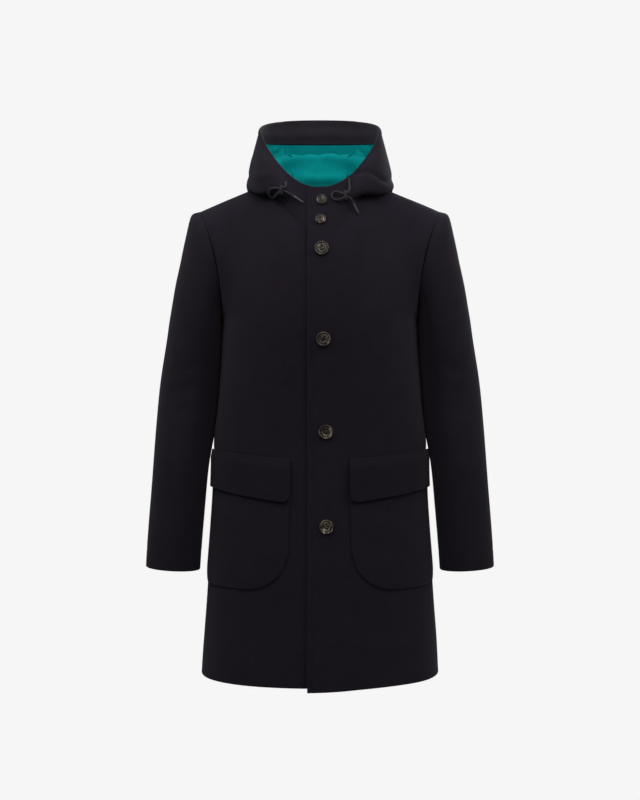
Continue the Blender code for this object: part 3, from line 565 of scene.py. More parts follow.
def hood_point(turn, line):
    """The hood's outer face: line 0 at the neck seam to 8 at the rim."""
    turn, line = np.broadcast_arrays(np.asarray(turn, float), np.asarray(line, float))
    folded = np.abs(turn)
    far = folded > 180
    folded = np.where(far, 360 - folded, folded)
    side = np.where((turn < 0) ^ far, -1.0, 1.0)
    knots = hood_knots(folded)
    steps = np.sqrt(np.linalg.norm(np.diff(knots, axis=0), axis=-1))
    keys = np.concatenate((np.zeros((1, *steps.shape[1:])), np.cumsum(steps, axis=0)))
    gaps = np.diff(keys, axis=0)
    slopes = np.empty_like(knots)
    rates = np.diff(knots, axis=0) / gaps[..., None]
    before, after = gaps[:-1, ..., None], gaps[1:, ..., None]
    slopes[1:-1] = (rates[:-1] * after + rates[1:] * before) / (before + after)
    slopes[0], slopes[-1] = rates[0], rates[-1]
    span = np.minimum(line.astype(int), len(knots) - 2)

    def pick(rows, at):
        index = at[None, ...] if rows.ndim == at.ndim + 1 else at[None, ..., None]
        return np.take_along_axis(rows, index, axis=0)[0]

    t = (line - span)[..., None]
    step = pick(gaps, span)[..., None]
    point = hermite(
        pick(knots, span),
        pick(knots, span + 1),
        step * pick(slopes, span),
        step * pick(slopes, span + 1),
        t,
    )
    return point * place(side, 1.0, 1.0)


def hood_surface(side, turn, line, out=0.0, lap=False):
    """The hood's outer face moved out, in below 0, with the direction out of the cloth.

    With lap, the left side lies over the right one at the throat, as the fronts do.
    """
    turn, line = np.broadcast_arrays(np.asarray(turn, float), np.asarray(line, float))
    step = 0.02
    around = hood_point(turn + 0.5, line) - hood_point(turn - 0.5, line)
    up, down = np.minimum(line + step, RIM_LINE), np.maximum(line - step, 0.0)
    normal = unit(np.cross(around, hood_point(turn, up) - hood_point(turn, down)))
    point = moved(hood_point(turn, line), normal, out)
    if lap and side > 0:
        point = moved(point, FORWARD, lap_lift(point[..., 0], point[..., 2]) * (turn < 90))
    return sided(point, side), sided(normal, side)


def hood_turn_at(x, line):
    """The turn at which the hood stands at a distance x from the centre line, at each line."""
    turns = np.linspace(0, 45, 31)
    line = np.atleast_1d(line)
    places = hood_point(turns[None, :], line[:, None])[..., 0]
    return np.array([np.interp(abs(x), row, turns) for row in places]) * np.sign(x)


# --- working on cloth -----------------------------------------------------------------------

Crease = namedtuple("Crease", "path width depth")
FOLDED_ROUND = ("fold",) * 4
CUT_ROUND = ("cut",) * 4


def shares(length, step=STEP, low=EDGE, high=EDGE):
    """Shares of a length: close together at both ends, and about a step apart between them."""
    low = np.array(low) / length
    high = 1 - np.array(high) / length
    count = max(round((high.min() - low.max()) * length / step), 1)
    middle = np.linspace(low.max(), high.min(), count + 1)
    return np.unique(np.concatenate((low, middle, high)).round(9))


def even(length, step=STEP):
    """Evenly spaced shares of a length, about a step apart."""
    return np.linspace(0, 1, max(round(length / step), 2) + 1)


def resample(points, rows, columns):
    """An evenly spaced grid of points, read on a smooth surface at other rows and columns."""
    tall = through(np.linspace(0, 1, len(points)), points.reshape(len(points), -1), rows)
    tall = tall.reshape(len(rows), points.shape[1], 3).swapaxes(0, 1)
    wide = through(np.linspace(0, 1, len(tall)), tall.reshape(len(tall), -1), columns)
    return wide.reshape(len(columns), len(rows), 3).swapaxes(0, 1)


def resampled(points, toward, tall, wide, step=STEP, across=None, low=EDGE):
    """A grid and its directions out of the cloth, read at the rows and columns of its shell.

    across is the step between columns where it isn't the step between rows.
    """
    rows, columns = shares(tall, step), shares(wide, across or step, low)
    return resample(points, rows, columns), resample(toward, rows, columns)


def relax(points):
    """Smooths a grid inside its outer lines, without shrinking it."""
    points = points.copy()
    for _ in range(RELAX_TIMES):
        for amount in RELAX_AMOUNTS:
            mean = (points[:-2, 1:-1] + points[2:, 1:-1] + points[1:-1, :-2] + points[1:-1, 2:]) / 4
            points[1:-1, 1:-1] += (mean - points[1:-1, 1:-1]) * amount
    return points


def from_sides(points):
    """How many columns each column of a grid is from its nearer side."""
    count = np.arange(points.shape[1])
    return np.minimum(count, count[::-1])


def grid_normals(points, toward):
    """The direction out of a grid of cloth, on the same side as the directions toward."""
    across = np.gradient(points, axis=1)
    along = np.gradient(points, axis=0)
    normal = unit(np.cross(across, along))
    facing = np.sign(np.sum(normal * toward)) or 1.0
    return normal * facing


def press(points, normals, creases):
    """Presses soft troughs into a grid along their paths, or raises ridges where depth is below 0."""
    pressed = points.copy()
    for crease in creases:
        length = lengths_along(np.array(crease.path, float))[-1]
        count = max(24, math.ceil(3 * length / crease.width))
        route = smooth_route(crease.path, count)
        low = route.min(0) - 3 * crease.width
        high = route.max(0) + 3 * crease.width
        near = np.all((points > low) & (points < high), axis=-1)
        if not near.any():
            continue
        apart = np.linalg.norm(points[near][:, None, :] - route[None, :, :], axis=-1)
        nearest = apart.argmin(axis=1)
        fade = np.sin(np.pi * np.linspace(0.02, 0.98, count)) ** 0.7
        amount = crease.depth * bell(apart.min(axis=1), crease.width) * fade[nearest]
        pressed[near] -= normals[near] * amount[:, None]
    return pressed


def smooth_route(points, count):
    """Evenly spaced points along a smooth curve through a route."""
    points = np.array(points, float)
    keys = lengths_along(points)
    fine = through(keys, points, np.linspace(0, keys[-1], 400))
    return points_along(fine, np.linspace(0, lengths_along(fine)[-1], count))


def wave(points):
    """The soft unevenness that heavy cloth has over a hand's width, about 1 mm each way."""
    x, y, z = np.moveaxis(points, -1, 0)
    return 0.0005 * (
        np.sin(21 * x + 9 * z + 1.3)
        + np.sin(34 * x - 17 * z + 11 * y + 0.4)
        + 0.7 * np.sin(13 * z + 27 * y + 2.1)
    )


def edge_distances(points):
    """Each grid point's distance to the low, high, left and right edge, along the grid."""
    rows = np.linalg.norm(np.diff(points, axis=0), axis=-1)
    columns = np.linalg.norm(np.diff(points, axis=1), axis=-1)
    up = np.concatenate((np.zeros((1, points.shape[1])), np.cumsum(rows, axis=0)))
    across = np.concatenate((np.zeros((len(points), 1)), np.cumsum(columns, axis=1)), axis=1)
    return {"low": up, "high": up[-1:] - up, "left": across, "right": across[:, -1:] - across}


def turned(distance, radius, furthest=0.97):
    """How far a turned edge drops, on a quarter round that stops just short of its middle."""
    short = np.clip(radius - distance, 0.0, furthest * radius)
    return radius - np.sqrt(radius**2 - short**2)


def smooth_mesh(name, points, faces):
    mesh = bpy.data.meshes.new(name)
    mesh.from_pydata(points, [], faces)
    mesh.shade_smooth()
    return mesh


def quads(grid):
    """The faces between the points of a grid of numbers."""
    corners = (grid[:-1, :-1], grid[:-1, 1:], grid[1:, 1:], grid[1:, :-1])
    return np.stack(corners, -1).reshape(-1, 4)


def ring_numbers(rows, around):
    """The numbers of the points on rows of rings, each ring's first point repeated at its end."""
    index = np.arange(rows * around).reshape(rows, around)
    return np.concatenate((index, index[:, :1]), axis=1)


def shell_mesh(name, outer, inner):
    """A closed wall between two grids of points."""
    index = np.arange(outer[..., 0].size).reshape(outer.shape[:2])
    rim = np.concatenate((index[0], index[1:, -1], index[-1, -2::-1], index[-2:0:-1, 0]))
    ahead = np.roll(rim, -1)
    offset = index.size
    wall = np.stack((ahead, rim, rim + offset, ahead + offset), -1)
    faces = np.concatenate((quads(index), quads(index)[:, ::-1] + offset, wall))
    points = np.concatenate((outer, inner)).reshape(-1, 3)
    return smooth_mesh(name, points.tolist(), faces.tolist())


def add_to_scene(name, data):
    made = bpy.data.objects.new(name, data)
    bpy.context.scene.collection.objects.link(made)
    return made


def add_piece(name, mesh, finish, slot, *nodes):
    """A piece of the coat in its place, standing for its CAD nodes."""
    made = add_to_scene(name, mesh)
    mesh.materials.append(finish)
    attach(made, "root")
    if nodes:
        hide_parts(*nodes)
    return made


def shell(node, points, toward, wall, edges, finish, slot="navy_wool", extra=0.0):
    """The cloth of a CAD node, from the grid of its outer face.

    edges says how the low, high, left and right edge end: "fold" is turned round, "seam" is
    drawn in against its neighbour, "flat" is pressed flat against it, and "cut" is left square.
    extra is more thickness inward, for a hem's second layer.
    """
    normals = grid_normals(points, toward)
    distances = edge_distances(points)
    wall = np.broadcast_to(wall + extra, points.shape[:2])
    outer = np.zeros(points.shape[:2])
    inner = np.array(wall)
    for distance, kind in zip(distances.values(), edges):
        if kind == "fold":
            drop = turned(distance, wall / 2)
            outer = np.maximum(outer, drop)
            inner = np.minimum(inner, wall - drop)
        elif kind == "flat":
            outer = np.maximum(outer, turned(distance, FLAT_TURN))
        elif kind == "seam":
            tip = ease(*TIP_HEIGHTS, points[..., 2]) * ease(*TIP_REACHES, abs(points[..., 0]))
            drawn = turned(distance, SEAM_TURN) + SEAM_SINK * bell(distance, SEAM_SPREAD)
            outer = np.maximum(outer, drawn * (1 - TIP_SOFTENING * tip))
    corner = np.cross(points[0, 1] - points[0, 0], points[1, 0] - points[0, 0])
    if np.sum(corner * normals[0, 0]) < 0:
        points, normals, outer, inner = (
            grid[:, ::-1] for grid in (points, normals, outer, inner)
        )
    name = f"{node}_cloth"
    mesh = shell_mesh(name, moved(points, normals, -outer), moved(points, normals, -inner))
    return add_piece(name, mesh, finish, slot, node)


# --- materials ------------------------------------------------------------------------------


class Paint:
    """A Principled material and the nodes that give it its colour and its small relief."""

    def __init__(self, name, colour, roughness, **settings):
        self.material = bpy.data.materials.new(name)
        self.material.use_nodes = True
        self.nodes = self.material.node_tree.nodes
        self.links = self.material.node_tree.links
        self.shader = self.nodes["Principled BSDF"]
        self.shader.inputs["Base Color"].default_value = (*colour, 1.0)
        self.shader.inputs["Roughness"].default_value = roughness
        for socket, value in settings.items():
            self.shader.inputs[socket.replace("_", " ")].default_value = value

    def add(self, kind, **sockets):
        """A node whose sockets are given plain values, or are linked to other nodes' outputs."""
        made = self.nodes.new(f"ShaderNode{kind}")
        for name, value in sockets.items():
            if isinstance(value, bpy.types.NodeSocket):
                self.links.new(value, made.inputs[name])
            else:
                made.inputs[name].default_value = value
        return made

    def coordinates(self, stretch=(1.0, 1.0, 1.0)):
        """The object's own coordinates in metres, stretched by a scale."""
        source = self.add("TexCoord").outputs["Object"]
        return self.add("Mapping", Scale=stretch, Vector=source).outputs["Vector"]

    def noise(self, scale, detail=3.0, roughness=0.55, distortion=0.0, stretch=(1.0, 1.0, 1.0)):
        made = self.add(
            "TexNoise",
            Scale=scale,
            Detail=detail,
            Roughness=roughness,
            Distortion=distortion,
            Vector=self.coordinates(stretch),
        )
        return made.outputs["Fac"]

    def ramp(self, value, *stops):
        """A colour ramp; each stop is a place and a colour."""
        made = self.add("ValToRGB", Fac=value)
        elements = made.color_ramp.elements
        while len(elements) < len(stops):
            elements.new(0.5)
        for element, (position, colour) in zip(elements, stops):
            element.position = position
            element.color = (*colour, 1.0)
        return made.outputs["Color"]

    def times(self, first, second):
        """One colour multiplied by another."""
        made = self.nodes.new("ShaderNodeMix")
        made.data_type = "RGBA"
        made.blend_type = "MULTIPLY"
        made.inputs["Factor"].default_value = 1.0
        self.links.new(first, made.inputs["A"])
        self.links.new(second, made.inputs["B"])
        return made.outputs["Result"]

    def sum_of(self, first, second, weight):
        """first plus second times a weight."""
        made = self.nodes.new("ShaderNodeMath")
        made.operation = "MULTIPLY_ADD"
        made.inputs[1].default_value = weight
        self.links.new(second, made.inputs[0])
        self.links.new(first, made.inputs[2])
        return made.outputs["Value"]

    def colour(self, colour):
        self.links.new(colour, self.shader.inputs["Base Color"])

    def bump(self, height, distance, strength):
        made = self.add("Bump", Height=height, Distance=distance, Strength=strength)
        self.links.new(made.outputs["Normal"], self.shader.inputs["Normal"])


def wool_material(name, tone):
    """Navy-black melton: felted fibres that lie in short wisps, a brushed nap and soft clouding."""
    paint = Paint(
        name,
        tone,
        0.95,
        Specular_IOR_Level=0.08,
        Sheen_Weight=0.05,
        Sheen_Roughness=0.55,
        Sheen_Tint=(0.86, 0.78, 0.95, 1.0),
    )
    wisps = paint.noise(1500.0, 4.0, 0.7, 0.6, stretch=(1.0, 1.0, 0.45))
    felt = paint.noise(520.0, 3.0, 0.6, 0.4)
    clouds = paint.noise(34.0, 4.0, 0.6)
    fibre = paint.ramp(wisps, (0.30, (0.50, 0.49, 0.52)), (0.72, (1.45, 1.44, 1.42)))
    soft = paint.ramp(clouds, (0.25, (0.90, 0.90, 0.90)), (0.75, (1.09, 1.09, 1.10)))
    ground = paint.add("RGB").outputs["Color"]
    ground.default_value = (*tone, 1.0)
    paint.colour(paint.times(paint.times(ground, fibre), soft))
    paint.bump(paint.sum_of(wisps, felt, 0.8), 0.00035, 0.55)
    return paint.material


def lining_material():
    """Teal nylon: a fine plain weave with slightly uneven threads and a soft satin gloss."""
    paint = Paint("teal_nylon_cloth", (0.0, 0.175, 0.178), 0.70, Specular_IOR_Level=0.02)
    threads = []
    for axis in ("X", "Z"):
        made = paint.add("TexWave", Scale=620.0, Distortion=0.6, Vector=paint.coordinates())
        made.bands_direction = axis
        threads.append(made.outputs["Fac"])
    slubs = paint.noise(700.0, 2.0, stretch=(1.0, 1.0, 0.15))
    clouds = paint.noise(45.0)
    paint.colour(paint.ramp(clouds, (0.3, (0.0004, 0.180, 0.187)), (0.7, (0.0006, 0.222, 0.224))))
    weave = paint.sum_of(*threads, 1.0)
    paint.bump(paint.sum_of(weave, slubs, 0.6), 0.00008, 0.5)
    return paint.material


def horn_material():
    """Polished buffalo horn: brown and grey layers with cream streaks."""
    paint = Paint(
        "brown_horn_button",
        (0.05, 0.04, 0.03),
        0.34,
        Coat_Weight=0.15,
        Coat_Roughness=0.15,
        Specular_IOR_Level=0.35,
    )
    layers = paint.noise(120.0, 5.0, 0.6, 1.6, stretch=(1.0, 1.0, 0.5))
    flecks = paint.noise(520.0, 3.0, 0.7, 0.8, stretch=(1.0, 1.0, 0.5))
    body = paint.ramp(
        layers,
        (0.32, (0.006, 0.005, 0.004)),
        (0.47, (0.026, 0.020, 0.015)),
        (0.58, (0.110, 0.088, 0.066)),
        (0.70, (0.360, 0.310, 0.245)),
    )
    grain = paint.ramp(flecks, (0.35, (0.75, 0.74, 0.72)), (0.7, (1.20, 1.20, 1.18)))
    paint.colour(paint.times(body, grain))
    paint.bump(flecks, 0.00006, 0.4)
    return paint.material


def thread_material(name, colour):
    """Twisted sewing thread."""
    paint = Paint(name, colour, 0.8, Specular_IOR_Level=0.1)
    paint.bump(paint.noise(2500.0, 2.0), 0.00008, 0.6)
    return paint.material


def cord_material():
    """The cord's dark cotton-like yarn; its braid is in the mesh."""
    paint = Paint(
        "charcoal_cord_yarn", (0.022, 0.019, 0.024), 0.85, Sheen_Weight=0.08, Specular_IOR_Level=0.2
    )
    fibre = paint.noise(2600.0, 3.0, 0.7)
    paint.colour(paint.ramp(fibre, (0.3, (0.014, 0.012, 0.016)), (0.7, (0.036, 0.032, 0.039))))
    paint.bump(fibre, 0.00012, 0.5)
    return paint.material


def tip_material():
    """A moulded grey tip, faintly scuffed."""
    paint = Paint("dark_cord_tip_plastic", (0.060, 0.056, 0.066), 0.45, Coat_Weight=0.1)
    scuffs = paint.noise(1400.0, 4.0, 0.7, stretch=(1.0, 1.0, 0.3))
    paint.colour(paint.ramp(scuffs, (0.3, (0.028, 0.026, 0.032)), (0.7, (0.052, 0.048, 0.057))))
    paint.bump(scuffs, 0.00005, 0.4)
    return paint.material


# --- the view and the light -----------------------------------------------------------------

CAMERA_PLACE = (0.0001, -2.3, -0.3885)
CAMERA_LENS = 55.95
PALE = 0.9217
ROOM_LIGHT = 0.27
FLOOR_Z = -1.47
FLOOR_REACH = 9.0
FLOOR_TONE = 0.3

LAMPS = named_rows(
    "name place toward size power",
    ("key", (-0.4, -1.8, 1.6), (0.0, 0.0, 0.2), 1.8, 20.5),
    ("fill", (0.9, -1.9, 1.2), (0.0, 0.0, 0.2), 2.0, 11.0),
    ("overhead", (0.0, -0.1, 1.9), (0.0, 0.0, -0.2), 2.4, 13.0),
    ("behind", (0.9, 2.1, 1.0), (0.0, 0.0, -0.2), 1.4, 28.0),
    ("side_right", (-1.5, -0.7, 1.2), (-0.1, 0.0, 0.2), 1.0, 15.0),
    ("side_left", (1.5, -0.7, 1.2), (0.1, 0.0, 0.2), 1.0, 15.0),
)


def add_view():
    """The camera, level with the coat's middle."""
    camera = add_to_scene("Camera", bpy.data.cameras.new("Camera"))
    camera.location = CAMERA_PLACE
    camera.rotation_euler = (math.radians(90), 0.0, 0.0)
    camera.data.lens = CAMERA_LENS
    bpy.context.scene.camera = camera
    bpy.context.scene.view_settings.view_transform = "Standard"


def add_lamp(lamp):
    """A round area light that points at its target."""
    data = bpy.data.lights.new(lamp.name, "AREA")
    data.shape = "DISK"
    data.size = lamp.size
    data.energy = lamp.power
    made = add_to_scene(lamp.name, data)
    made.location = lamp.place
    away = Vector(lamp.place) - Vector(lamp.toward)
    made.rotation_euler = away.to_track_quat("Z", "Y").to_euler()


def seen_as_pale(nodes, links, other, output):
    """Shows a plain pale tone to the camera, and the other shader to everything else."""
    path = nodes.new("ShaderNodeLightPath")
    pale = nodes.new("ShaderNodeEmission")
    pale.inputs["Color"].default_value = (PALE, PALE, PALE, 1.0)
    mix = nodes.new("ShaderNodeMixShader")
    links.new(path.outputs["Is Camera Ray"], mix.inputs["Fac"])
    links.new(other, mix.inputs[1])
    links.new(pale.outputs[0], mix.inputs[2])
    links.new(mix.outputs["Shader"], output.inputs["Surface"])


def add_studio():
    """A pale room and floor, and soft lights in front, overhead, behind and at both sides."""
    world = bpy.data.worlds.new("Studio")
    bpy.context.scene.world = world
    world.use_nodes = True
    background = world.node_tree.nodes["Background"]
    background.inputs["Color"].default_value = (1.0, 1.0, 1.0, 1.0)
    background.inputs["Strength"].default_value = ROOM_LIGHT
    output = world.node_tree.nodes["World Output"]
    seen_as_pale(world.node_tree.nodes, world.node_tree.links, background.outputs[0], output)

    mesh = bpy.data.meshes.new("floor")
    corners = [(-1, -1), (1, -1), (1, 1), (-1, 1)]
    corners = [(FLOOR_REACH * x, FLOOR_REACH * y, FLOOR_Z) for x, y in corners]
    mesh.from_pydata(corners, [], [(0, 1, 2, 3)])
    paint = Paint("pale_floor", (FLOOR_TONE, FLOOR_TONE, FLOOR_TONE), 0.9)
    seen_as_pale(
        paint.nodes, paint.links, paint.shader.outputs[0], paint.nodes["Material Output"]
    )
    mesh.materials.append(paint.material)
    add_to_scene("floor", mesh)

    for lamp in LAMPS:
        add_lamp(lamp)


# --- the cords ------------------------------------------------------------------------------

# How near cloth counts as under a cord, how many points of its route to each side have to clear
# it, and over how many points the line is then made smooth
CLOTH_NEAR = 0.0028
CLEAR_OVER = 3
SMOOTH_OVER = 23

# How many points each line is given, and how many lie round each tube
ROUTE_POINTS = 241
CORD_STATIONS = 26
CORD_POINTS = 260
CORD_AROUND = 32
KNOT_POINTS = 170
KNOT_AROUND = 28
TIP_AROUND = 24
THREAD_AROUND = 8

# The braid's relief, and the turns that wrap the knot
BRAID_SINK = 0.0001
BRAID_PITCH = 0.007
BRAID_STRANDS = 4
BRAID_RISE = 0.00022
WRAP_RISE = 0.0002
WRAP_CLEAR = 0.0007
WRAP_START = -0.6 * math.pi
WRAP_END = 2.7 * math.pi

# The moulded tip, from the cord outward: how far along, and its radius there
TIP_SHAPE = (
    (0.0000, 0.00080), (0.0004, 0.00190), (0.0016, 0.00210), (0.0030, 0.00200),
    (0.0034, 0.00185), (0.0040, 0.00190), (0.0140, 0.00160), (0.0185, 0.00140),
    (0.0200, 0.00110), (0.0205, 0.00050),
)


def throat_cloth(side):
    """Points and directions out of the cloth on one side of the throat: hood and front."""
    turns = np.linspace(8, 96, 67)[:, None]
    hood = hood_surface(side, turns, np.linspace(0, RIM_LINE, 81)[None, :], lap=True)
    columns = NECK_COLUMN * np.minimum(turns, 90) / 90
    front = front_surface(side, columns, np.linspace(1.75, 2.0, 33)[None, :])
    joined = [np.concatenate((a.reshape(-1, 3), b.reshape(-1, 3))) for a, b in zip(hood, front)]
    return [sided(grid, side) for grid in joined]


def laid_route(side, cord):
    """A cord's route lying in front of the cloth. side is 1 left, -1 right."""
    points, normals = throat_cloth(side)
    route = smooth_route([(at.x, at.off, at.z) for at in cord], ROUTE_POINTS)
    depths = []
    for x, off, z in route:
        near = np.flatnonzero(np.hypot(points[:, 0] - x, points[:, 2] - z) < CLOTH_NEAR)
        foremost = near[np.argmin(points[near, 1])]
        depths.append(points[foremost, 1] - off / max(abs(normals[foremost, 1]), 0.6))
    depths = np.pad(depths, CLEAR_OVER + SMOOTH_OVER // 2, mode="edge")
    foremost = [
        min(depths[at - CLEAR_OVER : at + CLEAR_OVER + 1])
        for at in range(CLEAR_OVER, len(depths) - CLEAR_OVER)
    ]
    route[:, 1] = np.convolve(foremost, np.full(SMOOTH_OVER, 1 / SMOOTH_OVER), mode="valid")
    route[:, 0] *= side
    return route


def frames_along(points):
    """For each point of a line, its direction and two directions across, with no twist."""
    tangents = unit(np.gradient(points, axis=0))
    across = unit(np.cross(tangents[0], (0.0, 1.0, 0.3)))
    sides = []
    for tangent in tangents:
        across = unit(across - tangent * np.dot(across, tangent))
        sides.append(across)
    sides = np.array(sides)
    return tangents, sides, np.cross(tangents, sides)


def tube_mesh(name, points, radius, around, braid=0.0):
    """A round tube with closed ends. A braid raises strands that cross both ways round it.

    radius may be one number or one for each point.
    """
    lengths = lengths_along(points)
    _, first, second = frames_along(points)
    angles = np.linspace(0, 2 * math.pi, around, endpoint=False)
    run = 2 * math.pi * lengths[:, None] / BRAID_PITCH
    over = np.cos(BRAID_STRANDS * angles[None, :] + run)
    under = np.cos(BRAID_STRANDS * angles[None, :] - run)
    swell = braid * (np.maximum(over, under) - 0.4)
    reach = np.broadcast_to(radius, (len(points),))[:, None] + swell
    ring = first[:, None, :] * np.cos(angles)[None, :, None]
    ring = ring + second[:, None, :] * np.sin(angles)[None, :, None]
    body = points[:, None, :] + ring * reach[..., None]
    index = ring_numbers(len(points), around)
    faces = quads(index).tolist()
    middle = len(points) * around
    start, end = index[0].tolist(), index[-1].tolist()
    faces += [(middle, there, here) for here, there in zip(start, start[1:])]
    faces += [(middle + 1, here, there) for here, there in zip(end, end[1:])]
    points = np.concatenate((body.reshape(-1, 3), points[[0, -1]]))
    return smooth_mesh(name, points.tolist(), faces)


def add_tip(word, plastic, start, toward):
    """The moulded tip that closes a drawcord's free end."""
    line = np.array([start + toward * at for at, _ in TIP_SHAPE])
    name = f"drawcord_tip_{word}_moulded"
    mesh = tube_mesh(name, line, np.array([radius for _, radius in TIP_SHAPE]), TIP_AROUND)
    return add_piece(name, mesh, plastic, "dark_cord_tip", f"drawcord_tip_{word}")


def add_knot(word, yarn, route):
    """The turns of cord that wrap the two strands where a drawcord crosses itself."""
    past = np.abs(route[:, 0]) - KNOT_PLACES[word]
    first, second = np.flatnonzero(past[:-1] * past[1:] <= 0)[:2]
    upper, lower = route[first], route[second]
    run = route[first + 6] - route[first - 6] - (route[second + 6] - route[second - 6])
    apart = unit(upper - lower)
    forward = unit(np.cross(run, apart))
    along_cord = unit(np.cross(apart, forward))
    reach = CORD_RADIUS + WRAP_CLEAR + KNOT_RADIUS
    half_gap = np.linalg.norm(upper - lower) / 2
    wrap = []
    for angle in np.linspace(WRAP_START, WRAP_END, 90)[::3]:
        up = math.sin(angle)
        lift = apart * (up * reach + math.copysign(half_gap, up) * min(abs(up) * 3, 1.0))
        shift = along_cord * (angle / math.pi - 1.05) * KNOT_RADIUS
        wrap.append((upper + lower) / 2 + lift + forward * math.cos(angle) * reach + shift)
    name = f"drawcord_knot_{word}_wrap"
    route = smooth_route(wrap, KNOT_POINTS)
    mesh = tube_mesh(name, route, KNOT_RADIUS, KNOT_AROUND, WRAP_RISE)
    return add_piece(name, mesh, yarn, "charcoal_cord", f"drawcord_knot_{word}")


def add_drawcord(word, side, cord, yarn, plastic):
    """A braided drawcord, the knot that wraps its two strands, and its moulded tip."""
    route = laid_route(side, cord)
    length = lengths_along(route)[-1] - TIP_LENGTH - TIP_GAP
    points = points_along(route, np.linspace(0, length, CORD_STATIONS))
    fine = smooth_route(points, CORD_POINTS)
    name = f"drawcord_{word}_braid"
    mesh = tube_mesh(name, fine, CORD_RADIUS - BRAID_SINK, CORD_AROUND, BRAID_RISE)
    made = add_piece(name, mesh, yarn, "charcoal_cord", f"drawcord_{word}")

    toward = unit(unit(points[-1] - points[-2]) + unit(route[-1] - points[-1]))
    tip = add_tip(word, plastic, points[-1] + toward * (TIP_GAP - TIP_OVER_CORD), toward)
    knot = add_knot(word, yarn, route)


# --- the cloth pieces -----------------------------------------------------------------------

# The turn at which a sleeve's length is measured, and how far past y = 0 a half reaches
SLEEVE_MEASURE_TURN = 60.0
HALF_MARGIN = 0.012


def laid_paths(points, face, folds):
    """Creases from rows of width, depth and a route given across and up.

    Each point of a route is moved to the nearest point of the grid's half that face picks, 1 for
    the back half and -1 for the front half. The callers below pass the half away from the folds.
    So those of the fronts and the back gather at the side seams, and a sleeve's lie on its other
    face, a fault.
    """
    half = points[points[..., 1] * face > -HALF_MARGIN]
    creases = []
    for width, depth, *route in folds:
        path = []
        for x, z in route:
            apart = np.hypot(half[:, 0] - x, half[:, 2] - z)
            path.append(half[apart.argmin()])
        creases.append(Crease(path, width, depth))
    return creases


def hem_layer(distance, deep):
    """The second layer that a turned-up hem adds inside."""
    return HEM_LAYER * (1 - ease(deep, deep + HEM_LAYER_END, distance))


def pucker(points, normals, distance):
    """Small dimples where a blind-stitched hem catches the cloth."""
    for at, place_x in enumerate(HEM_PLACES):
        height = HEM_STITCH_HEIGHT + HEM_STITCH_SWAY * math.sin(7.1 * at + 2.0)
        near = bell(distance - height, PUCKER_TALL) * bell(points[..., 0] - place_x, PUCKER_WIDE)
        points = moved(points, normals, -PUCKER_DEPTH * near)
    return points


# Each fold's width, its depth, which is below 0 for a ridge, and its route in (x, z)
FRONT_FOLDS = {
    "left": (
        (0.006, 0.0006, (0.024, -0.086), (0.034, -0.083), (0.046, -0.083)),
        (0.016, 0.0016, (0.120, -0.020), (0.100, -0.060), (0.085, -0.105)),
        (0.020, 0.0012, (0.165, -0.150), (0.150, -0.205), (0.146, -0.255)),
        (0.020, -0.0010, (0.130, -0.140), (0.118, -0.200), (0.116, -0.250)),
        (0.030, 0.0012, (0.150, -0.360), (0.135, -0.400), (0.132, -0.440)),
        (0.035, 0.0016, (0.150, -0.720), (0.158, -0.790), (0.164, -0.880)),
        (0.040, -0.0016, (0.100, -0.730), (0.104, -0.800), (0.108, -0.880)),
    ),
    "right": (
        (0.005, 0.0008, (-0.062, -0.079), (-0.052, -0.081), (-0.040, -0.086), (-0.029, -0.089)),
        (0.018, 0.0020, (-0.082, -0.030), (-0.068, -0.055), (-0.046, -0.082)),
        (0.020, 0.0012, (-0.168, -0.160), (-0.152, -0.215), (-0.147, -0.262)),
        (0.022, -0.0010, (-0.134, -0.150), (-0.122, -0.205), (-0.119, -0.255)),
        (0.030, 0.0010, (-0.148, -0.350), (-0.136, -0.395), (-0.131, -0.436)),
        (0.026, 0.0026, (-0.034, -0.470), (-0.040, -0.640), (-0.044, -0.880)),
        (0.036, 0.0016, (-0.156, -0.715), (-0.163, -0.790), (-0.168, -0.880)),
        (0.040, -0.0014, (-0.108, -0.740), (-0.112, -0.805), (-0.116, -0.880)),
    ),
}
BACK_FOLDS = (
    (0.020, 0.0026, (-0.060, -0.120), (-0.020, -0.135), (0.030, -0.134), (0.072, -0.118)),
    (0.020, -0.0018, (-0.070, -0.165), (-0.010, -0.178), (0.055, -0.168)),
    (0.022, 0.0028, (0.158, -0.170), (0.146, -0.230), (0.140, -0.300)),
    (0.024, 0.0030, (-0.160, -0.160), (-0.146, -0.225), (-0.142, -0.310)),
    (0.022, -0.0022, (0.120, -0.190), (0.112, -0.250), (0.112, -0.320)),
    (0.024, 0.0030, (0.095, -0.420), (0.040, -0.440), (-0.025, -0.436)),
    (0.020, 0.0024, (-0.120, -0.470), (-0.070, -0.486), (0.004, -0.480)),
    (0.036, 0.0044, (0.075, -0.560), (0.086, -0.700), (0.094, -0.880)),
    (0.036, -0.0040, (0.010, -0.560), (0.014, -0.720), (0.018, -0.880)),
    (0.034, 0.0044, (-0.066, -0.580), (-0.074, -0.710), (-0.084, -0.880)),
    (0.040, -0.0040, (-0.130, -0.600), (-0.140, -0.730), (-0.150, -0.880)),
)
SLEEVE_FOLDS = {
    "front": (
        (0.014, 0.0010, (0.222, -0.330), (0.240, -0.345), (0.258, -0.348)),
        (0.016, 0.0011, (0.222, -0.372), (0.244, -0.384), (0.264, -0.382)),
    ),
    "back": (
        (0.014, 0.0022, (0.214, -0.318), (0.238, -0.334), (0.262, -0.336)),
        (0.016, 0.0026, (0.216, -0.356), (0.244, -0.372), (0.272, -0.368)),
        (0.015, 0.0020, (0.222, -0.396), (0.248, -0.404), (0.274, -0.396)),
        (0.024, 0.0016, (0.262, -0.120), (0.268, -0.180), (0.270, -0.240)),
    ),
}
